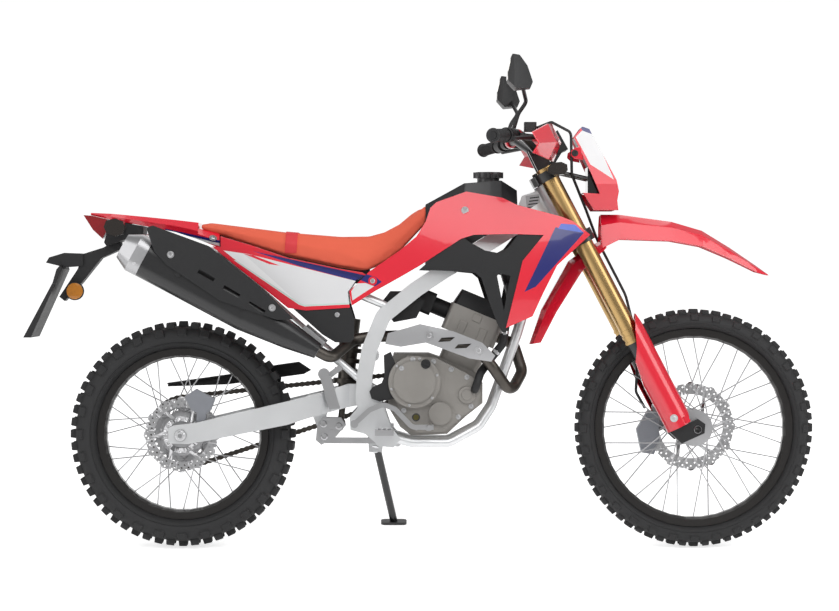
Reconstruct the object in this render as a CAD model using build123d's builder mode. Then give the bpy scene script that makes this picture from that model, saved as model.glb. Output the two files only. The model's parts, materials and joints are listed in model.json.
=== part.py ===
"""A single-cylinder dual sport motorcycle, parked on its side stand.

Every piece is modelled upright: X runs forward from the rear axle, Y to the rider's left and Z up from
the ground. The finished pieces are then leaned onto the side stand and centred over the origin.
"""
from build123d import *
import math
import os

os.makedirs("parts", exist_ok=True)

# ---------------------------------------------------------------- driving dimensions, in millimetres
WHEELBASE = 1455.0
RAKE = 27.5                     # degrees, steering axis from the vertical
CLAMP_OFFSET = 20.0             # steering axis to the fork tubes' axis
AXLE_OFFSET = 42.0              # fork tubes' axis to the front axle
FORK_HALF_SPACING = 103.0       # each fork leg from the middle plane
LEAN = 9.0                      # degrees, towards the side stand

SEAT_GAP = 0.4                  # between pieces that rest on each other
BEARING_GAP = 0.5               # between a turning hub and what stands still
PANEL_WALL = 3.0

CENTRE_LUG_HALF_WIDTH = 12.0
FRONT_TYRE_RADIUS = 339.0
FRONT_TYRE_HALF_WIDTH = 44.0
FRONT_BEAD_RADIUS = 267.0
FRONT_LUG_HEIGHT = 11.0
FRONT_LUG_PITCHES = 32
REAR_TYRE_RADIUS = 322.0
REAR_TYRE_HALF_WIDTH = 61.0
REAR_BEAD_RADIUS = 229.0
REAR_LUG_HEIGHT = 15.0
REAR_LUG_PITCHES = 28
RIM_SIDES = 36                  # one flat for each spoke
RIM_LIP = 14.0                  # rim flange above the bead seat
RIM_WELL = 12.0                 # rim bed below the bead seat
RIM_FLANGE = 4.5
FRONT_RIM_HALF_WIDTH = 25.0
REAR_RIM_HALF_WIDTH = 33.0

SPOKE_WIDTH = 3.2
AXLE_RADIUS = 10.0
AXLE_BORE_RADIUS = 6.5
FRONT_FLANGE_RADIUS = 46.0
FRONT_FLANGE_OFFSET = 30.0
REAR_FLANGE_RADIUS = 56.0
REAR_FLANGE_OFFSET = 34.0
FRONT_DISC_RADIUS = 128.0
FRONT_DISC_OFFSET = 60.0        # left of the middle plane
REAR_DISC_RADIUS = 108.0
REAR_DISC_OFFSET = -75.0
DISC_THICKNESS = 4.0
PAD_GAP = 1.0                   # between a disc and its caliper's pads
DISC_EDGE_GAP = 5.0             # between a disc's rim and its caliper's bridge

CHAIN_PITCH = 15.875
CHAIN_OFFSET = 78.0             # left of the middle plane
CHAIN_HALF_WIDTH = 8.5
CHAIN_HALF_HEIGHT = 7.5
CHAIN_WAIST = 5.2
SPROCKET_THICKNESS = 6.0
REAR_TEETH = 40
FRONT_TEETH = 14
TOOTH_GAP = 0.6                 # between a tooth's tip and the chain's inner edge
FRONT_SPROCKET = (607.0, 452.0)

PIVOT = (534.0, 439.0)          # swingarm pivot
PIVOT_BOLT_RADIUS = 8.0
ARM_INNER = 94.0                # an arm's inner face from the middle plane
ARM_OUTER = 120.0
ARM_NOSE_OUTER = 83.0           # where it passes inside the frame
SPAR_INNER = 89.0
SPAR_OUTER = 115.0
SPAR_WIDTH = 44.0
CRADLE_RADIUS = 13.0
RAIL_RADIUS = 11.0
HEAD_TUBE_RADIUS = 28.0
STEM_RADIUS = 15.0
LOWER_CLAMP = (612.0, 646.0)    # heights along the fork
UPPER_CLAMP = (815.0, 842.0)
FORK_TUBE_RADIUS = 26.0
FORK_TUBE_END = 300.0
FORK_TUBE_TOP = 852.0
FORK_LEG_RADIUS = 23.0
GUARD_RADIUS = 40.0
GUARD_WALL = 3.0
BAR_RADIUS = 11.0
GRIP_RADIUS = 16.0

CRANK = (752.0, 440.0)
CYLINDER_LEAN = 22.6            # degrees, forward from the vertical
CASE_HALF_WIDTH = 84.0
SIDE_COVER_DEPTH = 28.0
CLUTCH = (658.0, 473.0)
CLUTCH_RADIUS = 73.0
FILTER = (731.0, 384.0)
FILTER_RADIUS = 32.0
GENERATOR_RADIUS = 62.0
HEADER_RADIUS = 16.0

BAR_CENTRE = (1004.0, 1124.0)    # x and z of the bar's middle
STAND_PIVOT = Vector(548.0, 128.0, 285.0)
STAND_FOOT = (600.0, 268.0)     # its place over the ground, in the upright bike's axes
STAND_FOLDED = Vector(-0.97, 0.08, 0.10)     # the leg's direction when it is folded back
STAND_LEG_RADIUS = 11.0
STAND_PIN_RADIUS = 6.0
STAND_EAR = 7.0
FOOT_THICKNESS = 8.0

REAR_AXLE = (0.0, REAR_TYRE_RADIUS)
FRONT_AXLE = (WHEELBASE, FRONT_TYRE_RADIUS)
rake_rad = math.radians(RAKE)
lean_rad = math.radians(LEAN)
FORK_UP = Vector(-math.sin(rake_rad), 0, math.cos(rake_rad))
FORK_AHEAD = Vector(math.cos(rake_rad), 0, math.sin(rake_rad))
FORK_FOOT = Vector(FRONT_AXLE[0], 0, FRONT_AXLE[1]) - FORK_AHEAD * AXLE_OFFSET
# side view of the fork: x ahead of the tubes' axis, y up along it
FORK_SIDE = Plane(origin=FORK_FOOT, x_dir=FORK_AHEAD, z_dir=(0, -1, 0))
cylinder_rad = math.radians(CYLINDER_LEAN)
CYLINDER_UP = Vector(math.sin(cylinder_rad), 0, math.cos(cylinder_rad))
CYLINDER_AHEAD = Vector(math.cos(cylinder_rad), 0, -math.sin(cylinder_rad))
MIDDLE = Plane.XZ               # the bike's side view: x forward, y up, seen from its right
GROUND_DROP = CENTRE_LUG_HALF_WIDTH * math.sin(lean_rad)
GROUND_UP = Vector(0, -math.sin(lean_rad), math.cos(lean_rad))
# the ground under the leaning bike passes through the edges of both tyres' centre lugs
stand_ground = Vector(STAND_FOOT[0], STAND_FOOT[1],
                      (STAND_FOOT[1] * math.sin(lean_rad) - GROUND_DROP) / math.cos(lean_rad))
stand_leg_end = stand_ground + GROUND_UP * (FOOT_THICKNESS - 1)
STAND_DEPLOYED = (stand_leg_end - STAND_PIVOT).normalized()
STAND_AXIS = STAND_DEPLOYED.cross(STAND_FOLDED).normalized()


# ---------------------------------------------------------------- small tools that every piece shares
def fork_point(ahead, along, left=0.0):
    """A point in the bike's axes from the fork's own."""
    return FORK_FOOT + FORK_AHEAD * ahead + FORK_UP * along + Vector(0, left, 0)


def cylinder_point(ahead, along, left=0.0):
    """A point in the bike's axes from the cylinder's own, which start at the crank."""
    return Vector(CRANK[0], left, CRANK[1]) + CYLINDER_AHEAD * ahead + CYLINDER_UP * along


def polar(centre, radius, degrees, left=0.0):
    """A point round a side-view centre, counted from forward towards up."""
    angle = math.radians(degrees)
    return Vector(centre[0] + radius * math.cos(angle), left, centre[1] + radius * math.sin(angle))


def add_slab(outline, y_low, y_high, plane=MIDDLE, mode=Mode.ADD):
    """A side-view outline between two distances left of the middle plane."""
    with BuildSketch(plane.offset(-y_high)) as side_view:
        with BuildLine():
            Polyline(*outline, close=True)
        make_face()
    extrude(side_view.sketch, amount=y_high - y_low, mode=mode)


def add_disc(centre, radius, y_low, y_high, plane=MIDDLE, mode=Mode.ADD):
    """A round slab about a side-view centre."""
    with BuildSketch(plane.offset(-y_high)) as side_view:
        with Locations(centre):
            Circle(radius)
    extrude(side_view.sketch, amount=y_high - y_low, mode=mode)


def add_strap(points, bend, width, y_low, y_high, plane=MIDDLE):
    """A flat bar that follows a side-view route."""
    with BuildSketch(plane.offset(-y_high)) as side_view:
        with BuildLine():
            if len(points) > 2:
                FilletPolyline(*points, radius=bend)
            else:
                Line(*points)
        trace(line_width=width)
    extrude(side_view.sketch, amount=y_high - y_low)


def add_tube(points, radius, bend=0.0, mode=Mode.ADD):
    """A round bar along straight runs joined by arcs; bend is one radius, or one for each corner."""
    with BuildLine() as route:
        if len(points) > 2:
            FilletPolyline(*points, radius=bend)
        else:
            Line(*points)
    with BuildSketch(Plane(origin=route.line @ 0, z_dir=route.line % 0)) as section:
        Circle(radius)
    sweep(section.sketch, path=route.line, mode=mode)


def add_rounded_box(plane, across, deep, corner, length, mode=Mode.ADD):
    """A block of rounded rectangular section that stands on a plane."""
    with BuildSketch(plane) as section:
        RectangleRounded(across, deep, corner)
    extrude(section.sketch, amount=length, mode=mode)


def add_hull(stations, bevel, mode=Mode.ADD):
    """A body lofted straight through upright sections.

    Each station is (x, bottom, top, half-width at the bottom, at the shoulder, at the top).
    """
    sections = []
    for x, bottom, top, half_bottom, half_shoulder, half_top in stations:
        shoulder = bottom + (top - bottom) * bevel
        with BuildSketch(Plane(origin=(x, 0, 0), x_dir=(0, 1, 0), z_dir=(1, 0, 0))) as section:
            with BuildLine():
                Polyline(
                    (-half_bottom, bottom), (half_bottom, bottom), (half_shoulder, shoulder),
                    (half_top, top), (-half_top, top), (-half_shoulder, shoulder), close=True,
                )
            make_face()
        sections.append(section.sketch)
    loft(sections, ruled=True, mode=mode)


def add_skin(stations, z_low, z_high, wall, inset=0.0):
    """A curved upright shell of the right side.

    Each station is (x, half-width at z_low, at mid-height, at z_high).
    """
    middle = (z_low + z_high) / 2
    sections = []
    for x, low, mid, high in stations:
        outer = [(low - inset, z_low), (mid - inset, middle), (high - inset, z_high)]
        with BuildSketch(Plane(origin=(x, 0, 0), x_dir=(0, -1, 0), z_dir=(-1, 0, 0))) as section:
            with BuildLine():
                ThreePointArc(*outer)
                Line(outer[2], (outer[2][0] - wall, z_high))
                ThreePointArc(*[(half - wall, z) for half, z in reversed(outer)])
                Line((outer[0][0] - wall, z_low), outer[0])
            make_face()
        sections.append(section.sketch)
    loft(sections, ruled=True)


# ---------------------------------------------------------------- tyres
def add_flat_ring(centre, profile, sides, mode=Mode.ADD):
    """A flat-sided ring through (y, radius) pairs, with one flat at the bottom."""
    sections = []
    for y, radius in profile:
        with BuildSketch(MIDDLE.offset(-y)) as section:
            with Locations(centre):
                RegularPolygon(radius, sides, major_radius=False, rotation=90 - 180 / sides)
        sections.append(section.sketch)
    loft(sections, ruled=True, mode=mode)


def add_lug_row(centre, edge, root, pitches, share, shift):
    """A row of tread lugs. edge holds the (y, radius) of its two sides, root how deep the lugs go in."""
    pitch = 360.0 / pitches
    half = pitch * share / 2
    sections = []
    for y, radius in edge:
        outline = []
        for lug in range(pitches):
            middle = -90 + pitch * (lug + shift)
            tip = radius / math.cos(math.radians(half))
            for angle, r in ((-half, radius - root), (-half, tip), (half, tip), (half, radius - root)):
                place = polar(centre, r, middle + angle)
                outline.append((place.X, place.Z))
        with BuildSketch(MIDDLE.offset(-y)) as section:
            with BuildLine():
                Polyline(*outline, close=True)
            make_face()
        sections.append(section.sketch)
    loft(sections, ruled=True)


def add_tyre(centre, radius, half_width, rim_half_width, bead, lug_height, pitches):
    """A block-tread tyre of flat facets."""
    base = radius - lug_height
    drop = half_width * 0.26
    bead_half_width = rim_half_width - RIM_FLANGE - SEAT_GAP
    half = [
        (bead_half_width, bead + RIM_LIP + 3), (half_width * 0.90, bead + RIM_LIP + 13),
        (half_width * 0.97, base - drop - 10), (half_width * 0.66, base - drop * 0.35),
    ]
    profile = [(-y, r) for y, r in half] + [(y, r) for y, r in reversed(half)]
    add_flat_ring(centre, profile, pitches)
    side = [(half_width * 0.50, radius - drop * 0.25), (half_width, radius - drop - 4)]
    add_lug_row(centre, [(-CENTRE_LUG_HALF_WIDTH, radius), (CENTRE_LUG_HALF_WIDTH, radius)],
                lug_height + 6, pitches, 0.56, 0)
    add_lug_row(centre, side, lug_height + 14, pitches, 0.62, 0.5)
    add_lug_row(centre, [(-y, r) for y, r in reversed(side)], lug_height + 14, pitches, 0.62, 0.5)
    add_disc(centre, bead + RIM_LIP + 3, -half_width, half_width, mode=Mode.SUBTRACT)
    add_flat_ring(centre, [(-bead_half_width, bead + RIM_LIP + 4), (bead_half_width, bead + RIM_LIP + 4)], pitches)
    add_flat_ring(centre, [(-half_width, bead + 1.5), (half_width, bead + 1.5)], pitches, Mode.SUBTRACT)


pieces = {}                     # every finished piece by its name


def finish(builder, name):
    """Keep a finished piece, to be parked and written at the end."""
    pieces[name] = builder.part


for name, centre, radius, half_width, rim_half_width, bead, lug_height, pitches in (
    ("front_tyre", FRONT_AXLE, FRONT_TYRE_RADIUS, FRONT_TYRE_HALF_WIDTH, FRONT_RIM_HALF_WIDTH,
     FRONT_BEAD_RADIUS, FRONT_LUG_HEIGHT, FRONT_LUG_PITCHES),
    ("rear_tyre", REAR_AXLE, REAR_TYRE_RADIUS, REAR_TYRE_HALF_WIDTH, REAR_RIM_HALF_WIDTH,
     REAR_BEAD_RADIUS, REAR_LUG_HEIGHT, REAR_LUG_PITCHES),
):
    with BuildPart() as tyre:
        add_tyre(centre, radius, half_width, rim_half_width, bead, lug_height, pitches)
    finish(tyre, name)


# ---------------------------------------------------------------- rims, hubs and spokes
def add_rim(centre, bead, half_width):
    """A deep-welled rim, with a flat for each spoke."""
    lip, bed = bead + RIM_LIP, bead - RIM_WELL
    inner = half_width - RIM_FLANGE
    outside = [(-half_width, lip), (-half_width, bead - 2), (-half_width / 2, bed), (half_width / 2, bed),
               (half_width, bead - 2), (half_width, lip)]
    add_flat_ring(centre, [(-half_width, lip), (half_width, lip)], RIM_SIDES)
    for side in (-1, 1):
        # the bore widens from the bed to each flange
        flare = [(side * half_width, bead - 6), (side * half_width / 2, bed)]
        add_flat_ring(centre, sorted(flare), RIM_SIDES, Mode.SUBTRACT)
    add_flat_ring(centre, [(-half_width / 2, bed), (half_width / 2, bed)], RIM_SIDES, Mode.SUBTRACT)
    with BuildPart(mode=Mode.PRIVATE) as channel:
        add_flat_ring(centre, [(-inner, lip + 5), (inner, lip + 5)], RIM_SIDES)
        add_flat_ring(centre, [(-inner, bead), (inner, bead)], RIM_SIDES, Mode.SUBTRACT)
    add(channel.part, mode=Mode.SUBTRACT)


def spoke_solid(start, end):
    """One spoke, of square section."""
    run = end - start
    with BuildSketch(Plane(origin=start, z_dir=run)) as section:
        Rectangle(SPOKE_WIDTH, SPOKE_WIDTH)
    return extrude(section.sketch, amount=run.length, mode=Mode.PRIVATE)


def add_spokes(centre, flange_radius, flange_offset, rim_radius):
    """Crossed spokes: on each flange half of them lean one way and half the other."""
    spokes = []
    step = 360.0 / RIM_SIDES
    for side, first in ((-1, 0.0), (1, step)):
        for pair in range(RIM_SIDES // 4):
            for hub_turn, rim_turn in ((0.0, 6 * step), (2 * step, -4 * step)):
                base = -90 + first + 4 * step * pair
                start = polar(centre, flange_radius, base + hub_turn, side * flange_offset)
                end = polar(centre, rim_radius, base + rim_turn, side * 5.0)
                spokes.append(spoke_solid(start, end))
    add(spokes)


def add_turned(centre, profile):
    """A turned body about a wheel's axis. profile holds (y, radius) round its closed section."""
    x, z = centre
    with BuildSketch(Plane(origin=(x, 0, z), x_dir=(0, 1, 0), z_dir=(1, 0, 0))) as section:
        with BuildLine():
            Polyline(*profile, close=True)
        make_face()
    revolve(section.sketch, axis=Axis((x, 0, z), (0, 1, 0)))


HUB_BORE = AXLE_RADIUS + BEARING_GAP
SPOKE_TIP_GAP = 0.8
with BuildPart() as front_rim:
    add_rim(FRONT_AXLE, FRONT_BEAD_RADIUS, FRONT_RIM_HALF_WIDTH)
finish(front_rim, "front_rim")

FRONT_HUB_END = 66.0
front_disc_seat = FRONT_DISC_OFFSET - DISC_THICKNESS / 2 - SEAT_GAP
with BuildPart() as front_hub:
    flange = FRONT_FLANGE_OFFSET
    add_turned(FRONT_AXLE, [
        (-FRONT_HUB_END + 20, HUB_BORE), (-FRONT_HUB_END + 20, 18), (-flange - 6, 22),
        (-flange - 4, FRONT_FLANGE_RADIUS + 6), (-flange + 2, FRONT_FLANGE_RADIUS + 6), (-flange + 6, 24),
        (flange - 6, 24), (flange - 2, FRONT_FLANGE_RADIUS + 6), (flange + 4, FRONT_FLANGE_RADIUS + 6),
        (front_disc_seat - 6, 38), (front_disc_seat, 52), (front_disc_seat, 28), (FRONT_HUB_END, 20),
        (FRONT_HUB_END, HUB_BORE),
    ])
    add_spokes(FRONT_AXLE, FRONT_FLANGE_RADIUS, FRONT_FLANGE_OFFSET,
               FRONT_BEAD_RADIUS - RIM_WELL - SPOKE_TIP_GAP)
finish(front_hub, "front_hub")

with BuildPart() as rear_rim:
    add_rim(REAR_AXLE, REAR_BEAD_RADIUS, REAR_RIM_HALF_WIDTH)
finish(rear_rim, "rear_rim")

REAR_HUB_END = 84.0
rear_disc_seat = REAR_DISC_OFFSET + DISC_THICKNESS / 2 + SEAT_GAP
sprocket_seat = CHAIN_OFFSET - SPROCKET_THICKNESS / 2 - SEAT_GAP
with BuildPart() as rear_hub:
    flange = REAR_FLANGE_OFFSET
    add_turned(REAR_AXLE, [
        (-REAR_HUB_END, HUB_BORE), (-REAR_HUB_END, 20), (rear_disc_seat, 24), (rear_disc_seat, 54),
        (rear_disc_seat + 8, 54), (-flange - 8, 36), (-flange - 3, REAR_FLANGE_RADIUS + 6),
        (-flange + 3, REAR_FLANGE_RADIUS + 6), (-flange + 8, 32), (flange - 8, 32),
        (flange - 3, REAR_FLANGE_RADIUS + 6), (flange + 6, REAR_FLANGE_RADIUS + 6),
        (sprocket_seat - 10, 66), (sprocket_seat, 66), (sprocket_seat, 26), (REAR_HUB_END, 22),
        (REAR_HUB_END, HUB_BORE),
    ])
    add_spokes(REAR_AXLE, REAR_FLANGE_RADIUS, REAR_FLANGE_OFFSET,
               REAR_BEAD_RADIUS - RIM_WELL - SPOKE_TIP_GAP)
finish(rear_hub, "rear_hub")


# ---------------------------------------------------------------- brake discs and sprocket
def add_brake_disc(centre, radius, offset, bore, arms):
    """A waved disc: a lobed outer band on slanting arms, with a bolting ring inside."""
    low = offset - DISC_THICKNESS / 2
    with BuildSketch(MIDDLE.offset(-low - DISC_THICKNESS)) as face:
        with Locations(centre):
            Circle(radius - 5)
            with PolarLocations(radius - 13, 2 * arms):
                Circle(13)
            Circle(radius * 0.72, mode=Mode.SUBTRACT)
            Circle(bore + 14)
            with PolarLocations(0, arms):
                with Locations(Location((radius * 0.55, 0), 24)):
                    Rectangle(radius * 0.6, 9)
            Circle(bore, mode=Mode.SUBTRACT)
    extrude(face.sketch, amount=DISC_THICKNESS)


with BuildPart() as front_disc:
    add_brake_disc(FRONT_AXLE, FRONT_DISC_RADIUS, FRONT_DISC_OFFSET, 38.0, 6)
finish(front_disc, "front_disc")
with BuildPart() as rear_disc:
    add_brake_disc(REAR_AXLE, REAR_DISC_RADIUS, REAR_DISC_OFFSET, 38.0, 6)
finish(rear_disc, "rear_disc")


def pitch_radius(teeth):
    """Radius of a sprocket's pitch circle."""
    return CHAIN_PITCH / 2 / math.sin(math.pi / teeth)


rear_pitch = pitch_radius(REAR_TEETH)
front_pitch = pitch_radius(FRONT_TEETH)


def add_sprocket(centre, teeth, bore):
    """A toothed wheel whose tips run just inside the chain's band."""
    tip = pitch_radius(teeth) - CHAIN_HALF_HEIGHT - TOOTH_GAP
    low = CHAIN_OFFSET - SPROCKET_THICKNESS / 2
    outline = []
    step = 360.0 / teeth
    for tooth in range(teeth):
        for turn, radius in ((-0.16, tip), (0.16, tip), (0.36, tip - 5), (0.64, tip - 5)):
            place = polar(centre, radius, step * (tooth + turn))
            outline.append((place.X, place.Z))
    add_slab(outline, low, low + SPROCKET_THICKNESS)
    add_disc(centre, bore, low, low + SPROCKET_THICKNESS, mode=Mode.SUBTRACT)


with BuildPart() as rear_sprocket:
    add_sprocket(REAR_AXLE, REAR_TEETH, 40.0)
    with BuildSketch(MIDDLE.offset(-CHAIN_OFFSET - SPROCKET_THICKNESS)) as windows:
        with Locations(REAR_AXLE):
            with PolarLocations(66, 6):
                SlotOverall(26, 12, rotation=90)
    extrude(windows.sketch, amount=2 * SPROCKET_THICKNESS, mode=Mode.SUBTRACT)
finish(rear_sprocket, "rear_sprocket")


# ---------------------------------------------------------------- drive chain
def chain_place(distance, height):
    """A point beside the chain's pitch line, distance along it and height outside it."""
    run = Vector(FRONT_SPROCKET[0] - REAR_AXLE[0], 0, FRONT_SPROCKET[1] - REAR_AXLE[1])
    slope = math.degrees(math.atan2(run.Z, run.X))
    wrap = math.degrees(math.asin((rear_pitch - front_pitch) / run.length))
    straight = run.length * math.cos(math.radians(wrap))
    rear_arc = math.radians(180 + 2 * wrap) * rear_pitch
    front_arc = math.radians(180 - 2 * wrap) * front_pitch
    total = 2 * straight + rear_arc + front_arc
    distance = distance % total
    # from the rear sprocket's top: forward along the top run, round the front, back below, round the rear
    top = slope + 90 - wrap
    low = slope - 90 + wrap
    if distance < straight:
        return polar(REAR_AXLE, rear_pitch + height, top) + polar((0, 0), distance, slope - wrap), total
    distance -= straight
    if distance < front_arc:
        turn = math.degrees(distance / front_pitch)
        return polar(FRONT_SPROCKET, front_pitch + height, top - turn), total
    distance -= front_arc
    if distance < straight:
        return polar(FRONT_SPROCKET, front_pitch + height, low) - polar((0, 0), distance, slope + wrap), total
    distance -= straight
    return polar(REAR_AXLE, rear_pitch + height, low - math.degrees(distance / rear_pitch)), total


chain_length = chain_place(0, 0)[1]
link_count = round(chain_length / CHAIN_PITCH)
with BuildPart() as chain:
    for side, mode in ((1, Mode.ADD), (-1, Mode.SUBTRACT)):
        outline = []
        for half_link in range(2 * link_count):
            height = CHAIN_WAIST if half_link % 2 else CHAIN_HALF_HEIGHT
            place = chain_place(chain_length * half_link / (2 * link_count), side * height)[0]
            outline.append((place.X, place.Z))
        add_slab(outline, CHAIN_OFFSET - CHAIN_HALF_WIDTH, CHAIN_OFFSET + CHAIN_HALF_WIDTH, mode=mode)
finish(chain, "chain")


# ---------------------------------------------------------------- frame
HEAD_TOP = UPPER_CLAMP[0] - 2.0
HEAD_BOTTOM = LOWER_CLAMP[1] + 2.0
SPAR_ROUTE = [(760, 797), (663, 733), (570, 658), (532, 564), (518, 489), (514, 424), (532, 370)]
CRADLE_ROUTE = [
    (575, -92, 322), (648, -92, 301), (757, -82, 300), (841, -68, 345), (878, -58, 401), (920, -46, 518),
    (953, -40, 611), (1034, -20, 882),
]
with BuildPart() as frame:
    for side in (-1, 1):
        near, far = sorted((side * SPAR_INNER, side * SPAR_OUTER))
        add_strap(SPAR_ROUTE, 42, SPAR_WIDTH, near, far)
        # front stretch of the spar, which narrows towards the steering head
        sections = []
        for x, z, y, deep, across in ((742, 785, 100, 44, 28), (1028, 962, 26, 44, 22)):
            with BuildSketch(Plane(origin=(x, side * y, z), x_dir=(0, 1, 0), z_dir=(286, 0, 177))) as section:
                Rectangle(across, deep)
            sections.append(section.sketch)
        loft(sections, ruled=True)
        # plate that holds the swingarm's bolt, the peg and the end of the cradle
        add_slab([(498, 452), (560, 436), (592, 345), (620, 312), (600, 288), (560, 292), (520, 326), (478, 338),
                  (476, 374), (500, 400)],
                 near, far)
        add_tube([(x, -side * y, z) for x, y, z in CRADLE_ROUTE], CRADLE_RADIUS, 45)
        # tail frame: upper and lower rails that meet behind the seat
        add_tube([(585, side * 100, 684), (330, side * 88, 790), (60, side * 78, 846), (-100, side * 64, 880)],
                 RAIL_RADIUS, 60)
        add_tube([(502, side * 98, 482), (336, side * 90, 622), (90, side * 78, 840)], RAIL_RADIUS, 60)
    # steering head
    add_tube([fork_point(-CLAMP_OFFSET, HEAD_BOTTOM), fork_point(-CLAMP_OFFSET, HEAD_TOP)], HEAD_TUBE_RADIUS)
    add_slab([(952, 960), (966, 1000), (985, 1006), (1018, 1018), (1048, 960), (1062, 905), (1010, 850), (985, 880)],
             -18, 18)
    for x, z, half, radius in ((545, 545, 92, 14), (610, 300, 92, 11), (672, 748, 92, 11), (-92, 879, 64, 8),
                               (200, 817, 84, 8)):
        add_tube([(x, -half, z), (x, half, z)], radius)
    add_tube([(PIVOT[0], -SPAR_OUTER, PIVOT[1]), (PIVOT[0], SPAR_OUTER + 6, PIVOT[1])], PIVOT_BOLT_RADIUS)
    # room for the steering stem
    add_tube([fork_point(-CLAMP_OFFSET, HEAD_BOTTOM - 30), fork_point(-CLAMP_OFFSET, HEAD_TOP + 30)],
             STEM_RADIUS + BEARING_GAP, mode=Mode.SUBTRACT)
    # side stand's bracket and pin
    add_slab([(524, 330), (572, 318), (566, 262), (528, 262)], SPAR_INNER + 10, SPAR_OUTER - 4)
    add_tube([STAND_PIVOT - STAND_AXIS * 30, STAND_PIVOT - STAND_AXIS * (STAND_EAR + SEAT_GAP)], 13)
    add_tube([STAND_PIVOT - STAND_AXIS * 20, STAND_PIVOT + STAND_AXIS * (STAND_EAR + 3)], STAND_PIN_RADIUS)
finish(frame, "frame")


# ---------------------------------------------------------------- engine
CASE_OUTLINE = [
    (580, 470), (600, 552), (700, 552), (735, 540), (836, 494), (851, 470), (851, 412), (803, 374), (751, 325),
    (650, 320), (618, 345), (585, 400),
]
COVER_OUTLINE = [
    (610, 520), (640, 548), (720, 540), (800, 500), (836, 476), (846, 440), (836, 404), (796, 378), (745, 333),
    (664, 330), (632, 362), (604, 420),
]


def cylinder_plane(along):
    """A plane across the cylinder, with x ahead and y to the left."""
    return Plane(origin=cylinder_point(0, along), x_dir=CYLINDER_AHEAD, z_dir=CYLINDER_UP)


BARREL = (50.0, 164.6)          # heights along the cylinder
HEAD = (165.0, 243.0)
HEAD_COVER_TOP = 288.0
with BuildPart() as engine_cases:
    add_slab(CASE_OUTLINE, -CASE_HALF_WIDTH, CASE_HALF_WIDTH - 20)
    add_slab([(640, 345), (660, 520), (820, 480), (846, 440), (800, 380), (740, 335)], 0, CASE_HALF_WIDTH)
    add_rounded_box(cylinder_plane(BARREL[0]), 118, 124, 20, BARREL[1] - BARREL[0])
    # gearbox output shaft with the front sprocket
    add_disc(FRONT_SPROCKET, 12, 0, CHAIN_OFFSET + 8)
    add_sprocket(FRONT_SPROCKET, FRONT_TEETH, 11.0)
finish(engine_cases, "engine_cases")

with BuildPart() as cylinder_head:
    plane = cylinder_plane(HEAD[0])
    with BuildSketch(plane) as section:
        with Locations((-7, 0)):
            RectangleRounded(158, 142, 16)
    extrude(section.sketch, amount=HEAD[1] - HEAD[0])
    with BuildSketch(cylinder_plane(HEAD[1])) as section:
        with Locations((-7, 0)):
            RectangleRounded(150, 128, 14)
    extrude(section.sketch, amount=HEAD_COVER_TOP - HEAD[1], taper=12)
finish(cylinder_head, "cylinder_head")

cover_face = -CASE_HALF_WIDTH - SEAT_GAP
with BuildPart() as engine_covers:
    add_slab(COVER_OUTLINE, cover_face - SIDE_COVER_DEPTH, cover_face)
    outer = cover_face - SIDE_COVER_DEPTH
    add_disc(CLUTCH, CLUTCH_RADIUS, outer - 22, outer)
    add_disc(CLUTCH, CLUTCH_RADIUS - 14, outer - 28, outer)
    add_disc(FILTER, FILTER_RADIUS, outer - 14, outer)
    # generator's cover on the left
    left_face = CASE_HALF_WIDTH + SEAT_GAP
    add_disc(CRANK, GENERATOR_RADIUS, left_face, left_face + 32)
    add_disc(CRANK, GENERATOR_RADIUS - 24, left_face, left_face + 38)
finish(engine_covers, "engine_covers")


with BuildPart() as intake:
    inlet = cylinder_point(-86 - SEAT_GAP, 215)
    back = inlet - CYLINDER_AHEAD * 70
    add_bar = Plane(origin=inlet, z_dir=back - inlet)
    with BuildSketch(add_bar) as section:
        Circle(24)
    extrude(section.sketch, amount=46)
    with BuildSketch(add_bar.offset(46)) as section:
        RectangleRounded(66, 80, 10)
    extrude(section.sketch, amount=44)
    add_slab([(600, 640), (560, 690), (590, 728), (648, 728), (688, 700), (664, 652)], -74, 74)
finish(intake, "intake")

MUFFLER_START = Vector(388, -150, 560)
MUFFLER_AXIS = Vector(-0.880, 0, 0.475)
with BuildPart() as exhaust_header:
    port = cylinder_point(72 + SEAT_GAP, 200)
    inlet = MUFFLER_START - MUFFLER_AXIS * SEAT_GAP
    add_tube([port, port + CYLINDER_AHEAD * 50, (966, -30, 500), (930, -86, 440), (880, -134, 512), (838, -142, 566),
              (700, -128, 604), (628, -80, 602), (540, -60, 599), (486, -62, 591), inlet - MUFFLER_AXIS * 42, inlet],
             HEADER_RADIUS, [30, 34, 36, 34, 34, 60, 50, 60, 36, 24])
finish(exhaust_header, "exhaust_header")

HEADER_SHIELD_OUTLINE = [
    (576, 580), (584, 610), (674, 636), (767, 616), (848, 584), (884, 548), (873, 531), (812, 540), (735, 568),
    (690, 584), (620, 572),
]
with BuildPart() as header_shield:
    # stations of the shield: x, half-width at its foot, middle and head
    add_skin([(570, 122, 128, 122), (700, 148, 154, 148), (842, 162, 168, 162), (890, 160, 166, 160)], 520, 650, 3)
    add_slab(HEADER_SHIELD_OUTLINE, -200, -80, mode=Mode.INTERSECT)
    for shift in (0, 46):
        add_slab([(734 + shift, 598 - shift * 0.4), (772 + shift, 600 - shift * 0.4),
                  (758 + shift, 588 - shift * 0.4), (724 + shift, 586 - shift * 0.4)], -200, -80, mode=Mode.SUBTRACT)
    # feet on the pipe
    add_disc((700, 604), 6, -151, -128.1 - HEADER_RADIUS - SEAT_GAP)
    add_disc((838, 564), 6, -165, -142.1 - HEADER_RADIUS - SEAT_GAP)
finish(header_shield, "header_shield")

# the muffler's sections along its axis: distance, width, depth and corner
MUFFLER_SECTIONS = [(0, 44, 44, 20), (90, 66, 76, 30), (230, 92, 108, 36), (548, 94, 112, 38)]
MUFFLER_CAP_START = MUFFLER_SECTIONS[-1][0] + SEAT_GAP


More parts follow.
